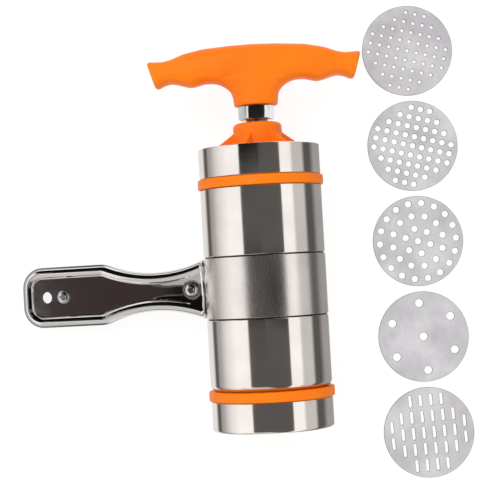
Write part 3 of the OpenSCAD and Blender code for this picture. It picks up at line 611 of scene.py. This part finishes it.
# Everything outside the nut's chamfered faces, then its bore
outside = turned([
    (30, jam_z - 3), (30, jam_top + 3), (0.01, jam_top + 3), (0.01, jam_top),
    (NUT_AF / 2 - 0.2, jam_top, 0.4), (corner_r + 0.1, jam_top - crown - 0.3),
    (corner_r + 0.1, jam_z + crown + 0.3), (NUT_AF / 2 - 0.2, jam_z, 0.4), (0.01, jam_z),
    (0.01, jam_z - 3)], steps=96)
nut = cut(nut, outside)
nut = cut(nut, turned([
    (0, jam_z - 1), (SCREW_R + 0.3, jam_z - 1), (SCREW_R + 0.3, jam_z + 0.1), (SCREW_R, jam_z + 0.5),
    (SCREW_R, jam_top + 1), (0, jam_top + 1)], closed=False, steps=64))
piece("jam_nut_hex", nut, PRESS, zinc_plate, "jam_nut", sharp=30, modifiers=[softened(0.15)])

# Shares of the grip's half length against the drop of its top and the rise of its underside
CROWN_DROP = [(0, 0), (0.23, 0.4), (0.47, 1.4), (0.61, 3), (0.66, 3.7), (0.72, 5), (0.77, 6.2),
              (0.85, 7.2), (0.92, 7.1), (1, 6.8)]
FINGER_RISE = [(0, 0), (0.36, 0.2), (0.44, 0.8), (0.51, 0.7), (0.57, -0.2), (0.63, -0.9), (0.69, -0.3),
               (0.78, 1.2), (0.84, 1.8), (0.9, 1.1), (0.96, -0.4), (1, -1)]
# Shares of the neck's height against the flare of its half width, on up inside the crossbar
NECK_FLARE = [(0, 0), (0.24, 0.2), (0.45, 0.8), (0.56, 1.6), (0.71, 3.8), (0.84, 7), (0.92, 10.3), (1, 13.5),
              (1.2, 14), (1.5, 11), (1.8, 6)]
grip_low, grip_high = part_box("t_grip")
grip_l, grip_h = (grip_high.x - grip_low.x) / MM, along("t_grip")[1] - grip_z
GRIP_T, CROSSBAR_H, NECK_W, NECK_H, TIP_SLANT, TIP_ROUND = 21.0, 21.0, 24.0, 14.6, 4.6, 1.6
shoulder_h = grip_h - CROSSBAR_H


def read(table, x):
    """Value of a table of pairs at x, in between by a straight line."""
    for (x0, y0), (x1, y1) in zip(table, table[1:]):
        if x <= x1:
            return y0 + (y1 - y0) * (x - x0) / (x1 - x0)
    return table[-1][1]


def lofted(bm, stations):
    """Carries a closed ring through the matrices in stations, and closes both ends."""
    edges = bm.edges[:]
    bmesh.ops.transform(bm, verts=bm.verts, matrix=stations[0])
    for before, after in zip(stations, stations[1:]):
        verts, edges = grown(bm, edges)
        bmesh.ops.transform(bm, verts=verts, matrix=after @ before.inverted())
    bmesh.ops.holes_fill(bm, edges=[e for e in bm.edges if e.is_boundary], sides=0)
    bmesh.ops.recalc_face_normals(bm, faces=bm.faces)
    return bm


def grip_station(f):
    """Place and size of the crossbar's section at a share f of its half length."""
    g = abs(f)
    top = grip_h - read(CROWN_DROP, g)
    low = shoulder_h + read(FINGER_RISE, g)
    mid, half, depth = (top + low) / 2, (top - low) / 2, GRIP_T / 2 * (1 - 0.28 * g ** 2 + 0.1 * g ** 8)
    near_tip = max(0, 1 - (1 - g) * grip_l / 2 / TIP_ROUND)
    edge = TIP_ROUND * (1 - math.sqrt(1 - near_tip ** 2))
    return Matrix([[1, 0, f * TIP_SLANT / 2 * (half - edge) / half, f * (grip_l - TIP_SLANT) / 2],
                   [0, depth - edge, 0, 0], [0, 0, half - edge, grip_z + mid], [0, 0, 0, 1]])


# The crossbar's section is an oval with fuller sides than an ellipse
bar_ring = bmesh.new()
bmesh.ops.create_circle(bar_ring, segments=48, radius=1, matrix=Matrix.Rotation(TURN / 4, 4, "Y"))
for v in bar_ring.verts:
    v.co.y = math.copysign(abs(v.co.y) ** 0.7, v.co.y)
    v.co.z = math.copysign(abs(v.co.z) ** 0.8, v.co.z)
STATIONS = 80
shares = [i / STATIONS for i in range(STATIONS)]
shares += [1 - TIP_ROUND / grip_l * 2 * t ** 2 for t in (0.8, 0.6, 0.4, 0.2, 0)]
crossbar = lofted(bar_ring, [grip_station(f) for f in sorted({-g for g in shares} | set(shares))])
neck_ring = bmesh.new()
bmesh.ops.create_circle(neck_ring, segments=48, radius=1)
neck = lofted(neck_ring, [Matrix.Translation((0, 0, grip_z + share * NECK_H)) @ Matrix.Diagonal(
    (NECK_W / 2 + flare, NECK_W / 2 - 1 - share * 0.45, 1, 1)) for share, flare in NECK_FLARE])
GRIP_VOXEL = 0.55                          # fuses neck and crossbar
piece("grip", fused(joined(crossbar, neck), GRIP_VOXEL, 8), PRESS, orange_pp, "t_grip", sharp=60)

# ---------------------------------------------------------------- side handle

def half_width(s):
    """Half width of the handle's outline between the root and the shoulder."""
    return waist_c - math.sqrt(WAIST_R ** 2 - (s - waist_s) ** 2)


def shell_half():
    """Upper half of a pressed shell's outer skin: the bead's section run along the outline."""
    bm = bmesh.new()
    rim = bm.verts.new((0, 0, panel_out))
    bmesh.ops.spin(bm, geom=[rim], cent=(BEAD_W / 2, 0, panel_out), axis=(0, 1, 0), angle=TURN / 2, steps=20)
    for v in bm.verts:
        across, up = v.co.x / (BEAD_W / 2) - 1, (v.co.z - panel_out) / (BEAD_W / 2)
        v.co.x = BEAD_W / 2 * (1 + math.copysign(abs(across) ** BEAD_CREST, across))
        v.co.z = panel_out + (BEAD_H - panel_out) * abs(up) ** BEAD_CREST
    foot = bmesh.ops.extrude_vert_indiv(bm, verts=[rim])["verts"]
    bmesh.ops.translate(bm, verts=foot, vec=(0, 0, FIT - panel_out))
    verts, edges = bm.verts[:], bm.edges[:]
    # The section stands on the waist's arc, its inset running away from the arc's centre
    root_a = math.asin((barrel_r + ROOT_GAP - waist_s) / WAIST_R)
    bmesh.ops.transform(bm, verts=verts, matrix=Matrix.Translation((waist_s, waist_c, 0))
                        @ Matrix.Rotation(root_a - TURN / 4, 4, "Z") @ Matrix.Translation((WAIST_R, 0, 0)))

    def swept(centre, axis, angle, steps):
        """Runs the section on round a centre."""
        nonlocal verts, edges
        last = bmesh.ops.spin(bm, geom=verts + edges, cent=(*centre, 0), axis=(0, 0, axis), angle=angle,
                              steps=steps)["geom_last"]
        verts, edges = verts_in(last), edges_in(last)

    def drawn(vec):
        """Runs the section straight on."""
        nonlocal verts, edges
        verts, edges = grown(bm, edges)
        bmesh.ops.translate(bm, verts=verts, vec=vec)

    swept((waist_s, waist_c), 1, shoulder_a - root_a, 60)
    swept((shoulder_s, shoulder_c), -1, shoulder_a, 12)
    drawn((reach - TIP_R - shoulder_s, 0, 0))
    swept((reach - TIP_R, tip_c), -1, TURN / 4, 20)
    drawn((0, -tip_c, 0))
    # Straight across at the root, where the arc's first section leans
    start = barrel_r + ROOT_GAP
    bmesh.ops.bisect_plane(bm, geom=bm.verts[:] + bm.edges[:] + bm.faces[:], dist=1e-4,
                           plane_co=(start + 0.02, 0, 0), plane_no=(1, 0, 0), clear_inner=True)
    return bm


def flare(s, w):
    """Rise of the panel toward the bead: its sides slope up near the root, but not under the screw."""
    share = max(0, min(1, (FLARE_END - s) / (FLARE_END - FLARE_FULL)))
    slope = share * share * (3 - 2 * share) * math.tan(math.radians(FLARE))
    clear = (math.hypot(s - root_screw_s, w) - SCREW_FLAT) / (SCREW_FADE - SCREW_FLAT)
    return max(0, abs(w) - FLAT_W) * slope * max(0, min(1, clear))


def shell():
    """A pressed shell's outer skin, its panel pierced for the screws and the hanging hole."""
    bm = shell_half()
    bmesh.ops.mirror(bm, geom=bm.verts[:] + bm.edges[:] + bm.faces[:], merge_dist=1e-3, axis="Y")
    bmesh.ops.remove_doubles(bm, verts=bm.verts, dist=1e-3)
    inner = [e for e in bm.edges if e.is_boundary and all(abs(v.co.z - panel_out) < 1e-3 for v in e.verts)]
    ends = [v for v in dict.fromkeys(v for e in inner for v in e.verts)
            if sum(e in inner for e in v.link_edges) == 1]
    inner.append(bm.edges.new(ends))
    hole_r = SCREW_D / 2 + FIT
    for s, r in ((root_screw_s, SCREW_FADE), (root_screw_s, SCREW_FLAT), (root_screw_s, hole_r),
                 (tip_screw_s, hole_r), (hang_hole_s, HANG_HOLE_D / 2)):
        spot = Matrix.Translation((s, 0, panel_out))
        circle = bmesh.ops.create_circle(bm, segments=48, radius=r, matrix=spot)["verts"]
        inner += dict.fromkeys(e for v in circle for e in v.link_edges)
    bmesh.ops.triangle_fill(bm, edges=inner, use_beauty=True, normal=(0, 0, 1))
    # Toward the root the panel's sides slope up to the bead and its end curls up, so it is sliced there,
    # closely where the slope begins
    cuts = [((barrel_r + ROOT_GAP + ROOT_CURL * i / 8, 0, 0), (1, 0, 0)) for i in range(1, 9)]
    cuts += [((s, 0, 0), (1, 0, 0)) for s in range(38, 67, 2)]
    cuts += [((0, side * w, 0), (0, 1, 0)) for side in (-1, 1)
             for w in (0.1, 1.5, FLAT_W - 0.3, FLAT_W + 0.3, 5, 7, 9)]
    for spot, way in cuts:
        near = [f for f in bm.faces if min(v.co.x for v in f.verts) < FLARE_END + 3
                and (way[0] or all(abs(v.co.z - panel_out) < 1e-3 for v in f.verts))]
        parts = dict.fromkeys(part for f in near for part in (f, *f.edges, *f.verts))
        bmesh.ops.bisect_plane(bm, geom=list(parts), dist=1e-4, plane_co=spot, plane_no=way)
    bmesh.ops.remove_doubles(bm, verts=bm.verts, dist=1e-2)
    in_hole = [f for f in bm.faces if math.dist(f.calc_center_median().xy, (root_screw_s, 0)) < hole_r]
    bmesh.ops.delete(bm, geom=in_hole, context="FACES_ONLY")
    for v in bm.verts:
        if v.co.z < panel_out - 1e-3:
            continue
        if v.co.x < FLARE_END and abs(v.co.y) < half_width(v.co.x) - BEAD_W / 2:
            v.co.z = max(v.co.z, panel_out + flare(v.co.x, v.co.y))
        near_end = barrel_r + ROOT_GAP + ROOT_CURL - v.co.x
        if near_end > 0:
            v.co.z += ROOT_CURL - math.sqrt(max(0, ROOT_CURL ** 2 - near_end ** 2))
    bmesh.ops.recalc_face_normals(bm, faces=bm.faces)
    if max(bm.faces, key=lambda f: f.calc_area()).normal.z < 0:
        bmesh.ops.reverse_faces(bm, faces=bm.faces)
    return shaped(bm, ("SOLIDIFY", {"thickness": SHEET, "offset": -1.0, "use_even_offset": False}))


piece("front_shell", shell(), HANDLE, pressed_shell, "handle_front")
piece("back_shell", shell(), HANDLE @ Matrix.Rotation(TURN / 2, 4, "X"), pressed_shell, "handle_back")


def pan_screw(s):
    """A pan-head screw with a cross recess that narrows downward, standing on the panel at s."""
    shank = 2 * panel_out + 3
    span, slot_w, slot_h, depth, narrow = HEAD_D * 0.76, 1.6, 3.2, 1.5, 0.45
    body = turned([
        (0, -shank), (SCREW_D / 2 - 0.05, -shank, 0.4), (SCREW_D / 2 - 0.05, 0), (HEAD_D / 2, 0, 0.2),
        (HEAD_D / 2, HEAD_H * 0.4, 0.8), (HEAD_D * 0.36, HEAD_H, 1.0), (0, HEAD_H)],
        closed=False, steps=64)
    for quarter in (0, TURN / 4):
        slot = bmesh.new()
        bmesh.ops.create_cube(slot, size=1, matrix=Matrix.Rotation(quarter, 4, "Z")
                              @ Matrix.Diagonal((span, slot_w, slot_h, 1)))
        bmesh.ops.translate(slot, verts=slot.verts, vec=(0, 0, HEAD_H - depth + slot_h / 2))
        for v in slot.verts:
            if v.co.z < HEAD_H:
                v.co.xy *= narrow
        body = cut(body, slot)
    bmesh.ops.translate(body, verts=body.verts, vec=(s, 0, panel_out + SLACK))
    return body


for name, s in (("root_screw", root_screw_s), ("tip_screw", tip_screw_s)):
    piece(name + "_head", pan_screw(s), HANDLE, zinc_plate, name)

SMALL_NUT_T = 2.4
nuts = []
for s in (root_screw_s, tip_screw_s):
    low = -panel_out - SLACK - SMALL_NUT_T
    bore = turned([(0, low - 1), (SCREW_D / 2, low - 1), (SCREW_D / 2, 0), (0, 0)], closed=False, steps=32)
    small = cut(hexagon(SCREW_D * 1.75, SMALL_NUT_T, low), bore)
    bmesh.ops.translate(small, verts=small.verts, vec=(s, 0, 0))
    nuts.append(small)
piece("nut_pair", joined(*nuts), HANDLE, zinc_plate, "handle_nuts", modifiers=[softened(0.3)])

EAR_L, EAR_NARROW, BEND_NARROW = 18, 0.58, 0.86      # the ears' reach, and shares of the band's width


def band():
    """The clamp band: one strip wrapped round the barrel, its ends bent out into two ears."""
    mid_r = barrel_r - SHEET / 2
    ear_y = SLACK + SHEET / 2
    bend = BEND_R + SHEET / 2
    bend_x = math.sqrt((mid_r + bend) ** 2 - (ear_y + bend) ** 2)
    bend_a = math.asin((ear_y + bend) / (mid_r + bend))
    ear_out = barrel_r + EAR_L
    bm = bmesh.new()
    start = bm.verts.new((-ear_out, ear_y, 0))
    tip = bmesh.ops.extrude_vert_indiv(bm, verts=[start])["verts"]
    bmesh.ops.translate(bm, verts=tip, vec=(ear_out - bend_x, 0, 0))
    for centre, axis, angle, steps in (
            ((-bend_x, ear_y + bend, 0), 1, TURN / 4 - bend_a, 8), ((0, 0, 0), -1, TURN - 2 * bend_a, 180),
            ((-bend_x, -ear_y - bend, 0), 1, TURN / 4 - bend_a, 8)):
        spun = bmesh.ops.spin(bm, geom=tip, cent=centre, axis=(0, 0, axis), angle=angle, steps=steps)
        tip = verts_in(spun["geom_last"])
    end = bmesh.ops.extrude_vert_indiv(bm, verts=tip)["verts"]
    bmesh.ops.translate(bm, verts=end, vec=(bend_x - ear_out, 0, 0))
    upper, edges = grown(bm, bm.edges[:])
    bmesh.ops.translate(bm, verts=upper, vec=(0, 0, band_end - band_z))
    # The ears narrow toward the waist, inside the shells
    half = (band_end - band_z) / 2
    bmesh.ops.translate(bm, verts=bm.verts, vec=(0, 0, -half))
    for v in bm.verts:
        if v.co.x < -bend_x - 0.1:
            v.co.z *= EAR_NARROW
        elif v.co.x < -barrel_r - 0.3:
            v.co.z *= BEND_NARROW
    bmesh.ops.translate(bm, verts=bm.verts, vec=(0, 0, half + band_z))
    bmesh.ops.recalc_face_normals(bm, faces=bm.faces)
    return bm


piece("band_strip", band(), ROLLED, satin_sheet, "clamp_band",
      modifiers=[("SOLIDIFY", {"thickness": SHEET * MM, "offset": 0.0, "use_even_offset": True}),
                 softened(0.2)])

# ---------------------------------------------------------------- dies

DIE_D, DIE_T = 51.0, 1.0
GRID, GRID_TURN = 5.3, math.radians(-15.5)
RING_STEP, RING_TURNS = DIE_D * 0.141, (43, 11.5, 2)     # between rings, and where each starts, in degrees
SEVEN_R, SEVEN_HOLE, SEVEN_TURN = DIE_D * 0.374, 4.6, math.radians(94.5)
SLOT_ACROSS, SLOT_ALONG, SLOT_W, SLOT_L = DIE_D * 0.115, DIE_D * 0.179, 1.8, 7
SLOT_TURN = math.radians(3)


def die(holes, turn):
    """A round blank with (x, y, diameter, length) holes, slots where length is not 0."""
    bm = bmesh.new()
    for x, y, d, length in holes:
        hole = bmesh.ops.create_circle(bm, segments=24, radius=d / 2, matrix=Matrix.Translation((x, y, 0)))
        if length:
            for v in hole["verts"]:
                v.co.y += math.copysign((length - d) / 2, v.co.y - y)
    bmesh.ops.rotate(bm, verts=bm.verts, matrix=Matrix.Rotation(turn, 3, "Z"))
    bmesh.ops.create_circle(bm, segments=128, radius=DIE_D / 2)
    bmesh.ops.triangle_fill(bm, edges=bm.edges[:], use_beauty=True, normal=(0, 0, 1))
    raise_faces(bm, DIE_T)
    bmesh.ops.recalc_face_normals(bm, faces=bm.faces)
    for face in bm.faces:
        face.material_index = int(abs(face.normal.z) < 0.5)
    return bm


def grid_holes(d):
    """Holes of diameter d on a square grid, within a circle."""
    return [(i * GRID, j * GRID, d, 0) for i in range(-4, 5) for j in range(-4, 5) if i * i + j * j <= 17]


def circle_of(count, r, d, start=0.0):
    """Holes of diameter d evenly round a circle of radius r."""
    return [(r * math.cos(TURN * i / count + start), r * math.sin(TURN * i / count + start), d, 0)
            for i in range(count)]


def ringed_holes(d):
    """A middle hole and rings of 6, 12 and 18 holes of diameter d round it."""
    holes = [(0, 0, d, 0)]
    for step, start in enumerate(RING_TURNS, 1):
        holes += circle_of(6 * step, step * RING_STEP, d, math.radians(start))
    return holes


def slots():
    """Rows of slots that fill the die, and two more slots at each side."""
    rows = [((i - (n - 1) / 2) * SLOT_ACROSS, (2 - row) * SLOT_ALONG, SLOT_W, SLOT_L)
            for row, n in enumerate((4, 6, 6, 6, 4)) for i in range(n)]
    return rows + [(side * 3.5 * SLOT_ACROSS, half * SLOT_ALONG, SLOT_W, SLOT_L)
                   for side in (-1, 1) for half in (-0.5, 0.5)]


seven = [(0, 0, SEVEN_HOLE, 0)] + circle_of(6, SEVEN_R, SEVEN_HOLE)
for name, holes, turn in (("die_fine", grid_holes(2), GRID_TURN), ("die_medium", grid_holes(3.3), GRID_TURN),
                          ("die_ringed", ringed_holes(3.7), 0), ("die_seven_hole", seven, SEVEN_TURN),
                          ("die_slotted", slots(), SLOT_TURN)):
    low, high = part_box(name)
    centre = Matrix.Translation(((low.x + high.x) / 2, (low.y + high.y) / 2, low.z))
    blank = piece(name + "_blank", die(holes, turn), centre @ Matrix.Scale(MM, 4), tumbled_die, name,
                  modifiers=[softened(0.2, material=1)])
    blank.data.materials.append(sheared_edge)

dress(turned_brass, "drive_nut")
# The jacket's black is painted shade for the seams beside the clamp band
dress(seam_shade_black_pp, "inner_jacket")
dress(zinc_plate, "piston_screw")

# ---------------------------------------------------------------- table, light and camera

scene = bpy.context.scene
scene.view_settings.view_transform = "Standard"


def sheet_of(name, corners, material):
    """A flat stage piece through corners in millimetres."""
    bm = bmesh.new()
    bmesh.ops.contextual_create(bm, geom=[bm.verts.new(Vector(c) * MM) for c in corners])
    made = placed(name, mesh_of(name, bm))
    made.data.materials.append(material)
    return made


# White table: to the camera and in reflections it glows white and keeps the press's soft shadow
table_white, tree, shader, _ = finish("white table")
feed(tree, shader, {"Base Color": linear("#F0F0F0"), "Roughness": 0.9, "Specular IOR Level": 0})
paper = add(tree, "BsdfDiffuse", {"Color": linear("#7C7C7C")})
glow = add(tree, "Emission", {"Color": linear("#FFFFFF"), "Strength": 0.86})
lit = add(tree, "AddShader", {0: paper.outputs[0], 1: glow.outputs[0]})
mixed = add(tree, "MixShader", {"Fac": direct(tree), 1: shader.outputs[0], 2: lit.outputs[0]})
feed(tree, tree.nodes["Material Output"], {"Surface": mixed.outputs[0]})
sheet_of("table", [(-3000, -3000, 0), (3000, -3000, 0), (3000, 3000, 0), (-3000, 3000, 0)], table_white)


def card(name, corners, way, stops):
    """A studio card that only metal and gloss mirror, its tone changing along x, y or z by
    (place in mm, sRGB hex) stops."""
    material, tree, _, place = finish(name)
    first, last = stops[0][0], stops[-1][0]
    parts = add(tree, "SeparateXYZ", {0: place})
    share = add(tree, "MapRange", {"Value": parts.outputs[way], "From Min": first * MM,
                                   "From Max": last * MM})
    tones = add(tree, "ValToRGB", {"Fac": share.outputs[0]})
    ramp = tones.color_ramp
    while len(ramp.elements) < len(stops):
        ramp.elements.new(0.5)
    for element, (spot, tone) in zip(ramp.elements, stops):
        element.position = (spot - first) / (last - first)
    for element, (spot, tone) in zip(ramp.elements, stops):
        element.color = linear(tone)
    glow = add(tree, "Emission", {"Color": tones.outputs[0], "Strength": 1})
    feed(tree, tree.nodes["Material Output"], {"Surface": glow.outputs[0]})
    made = sheet_of(name, corners, material)
    made.visible_camera = made.visible_diffuse = made.visible_shadow = made.visible_transmission = False


def lengthwise(x0, z0, x1, z1, near, far):
    """Corners of a card that runs along the press, between two lines given by x and z."""
    return [(x0, near, z0), (x0, far, z0), (x1, far, z1), (x1, near, z1)]


def crosswise(y, x0, x1, low, high):
    """Corners of an upright card across the press."""
    return [(x0, y, low), (x1, y, low), (x1, y, high), (x0, y, high)]


ax, az = axis_x / MM, axis_z / MM
FAR, NEAR, CEILING, FLOOR = 1000, -1200, az + 1200, 0.4
# The studio's cloths and flags come in a few plain tones
WHITE, PALE, LIGHT, GREY, DARK = "#FFFFFF", "#E8E8E8", "#C8C8C8", "#A0A0A0", "#585858"
BROWN, BLACK = "#383030", "#101010"


def overhead(grey_end, flag_start, flag_end, back_start, flag=BLACK):
    """Tones of an overhead cloth from near to far: dark, with a flag over the clamp band and black
    again behind the press. The four places are in mm."""
    edge = (flag_end - flag_start) / 8
    return [(NEAR, LIGHT), (grey_end - 30, GREY), (grey_end, DARK), (flag_start - edge, DARK),
            (flag_start, flag), (flag_end, flag), (flag_end + edge, DARK), (back_start, DARK),
            (back_start + 30, BLACK), (FAR, BLACK)]


# Overhead hang a leaning cloth and two level ones: each shell's dark middle stripe, and the side
# handle's dark panel. A black cloth beyond the grip darkens what leans that way, and a light one on
# this side brightens what leans toward the mouth.
wall_top, ceiling_left = ax - 60, ax - 700
card("leaning cloth", lengthwise(ax + 52, az + 85, wall_top, az + 600, NEAR, FAR), "Y",
     overhead(-250, -38, -8, 70))
card("ceiling", lengthwise(wall_top, CEILING, ceiling_left, CEILING, NEAR, FAR), "Y",
     overhead(-460, -66, 4, 130))
card("left ceiling", lengthwise(ceiling_left, CEILING, ax - 961, CEILING, NEAR, FAR), "Y",
     overhead(-460, -74, 12, 135, BROWN))
card("far cloth", crosswise(300, ceiling_left, ax + 10, 60, 560), "Z", [(60, BLACK), (560, BLACK)])
card("near cloth", crosswise(NEAR, ax - 2600, ax + 600, FLOOR, CEILING), "Z", [(0, LIGHT), (CEILING, LIGHT)])
# Low flags beside the barrel: the dark and grey edges of the shells. The right one ends at the top
# cap, so that the nut beyond it stays bright
cap_y = mouth_y / MM + along("top_cap_shell")[1] + 5
card("right flag", lengthwise(ax + 44, FLOOR, ax + 44, 85, -260, cap_y), "Z",
     [(0, GREY), (40, GREY), (48, DARK), (56, DARK), (60, LIGHT), (75, LIGHT), (80, WHITE), (85, WHITE)])
card("left flag", lengthwise(ax - 36, FLOOR, ax - 420, FLOOR, -500, 500), "X",
     [(ax - 420, LIGHT), (ax - 150, GREY), (ax - 115, DARK), (ax - 95, DARK), (ax - 75, PALE),
      (ax - 36, PALE)])
card("left cloth", lengthwise(ax - 420, FLOOR, ax - 420, 240, -500, 500), "Z",
     [(0, LIGHT), (100, PALE), (240, WHITE)])

world = bpy.data.worlds.new("white studio")
scene.world = world
world.use_nodes = True
tree = world.node_tree
FILL = 0.66                 # soft light from all round
level = add(tree, "MapRange", {"Value": direct(tree), "To Min": FILL, "To Max": 1.0})
feed(tree, tree.nodes["Background"], {"Color": linear("#FFFFFF"), "Strength": level.outputs[0]})


def softbox(name, watts, size, spot):
    """A square lamp of so many metres, turned to the middle of the part."""
    lamp = bpy.data.lights.new(name, "AREA")
    lamp.energy, lamp.size = watts, size
    made = placed(name, lamp)
    made.location = spot
    made.rotation_euler = (Vector((0, 0, 0.02)) - Vector(spot)).to_track_quat("-Z", "Y").to_euler()
    made.visible_glossy = False


softbox("key softbox", 5.4, 0.9, (-0.45, 0.5, 0.95))
softbox("fill softbox", 2.2, 0.8, (0.6, -0.5, 0.8))

lens = bpy.data.cameras.new("camera")
lens.lens, lens.sensor_width = 107, 36
camera = placed("camera", lens)
eye, look = Vector((3.94, -15.6, 842)) * MM, Vector((3.94, -0.4, 34.1)) * MM
TILT = math.radians(3.2)    # the press leans by this in the view
ahead = (look - eye).normalized()
up = Vector((math.sin(TILT), math.cos(TILT), 0))
right = ahead.cross(up).normalized()
up = right.cross(ahead)
camera.matrix_world = Matrix.Translation(eye) @ Matrix([right, up, -ahead]).transposed().to_4x4()
scene.camera = camera
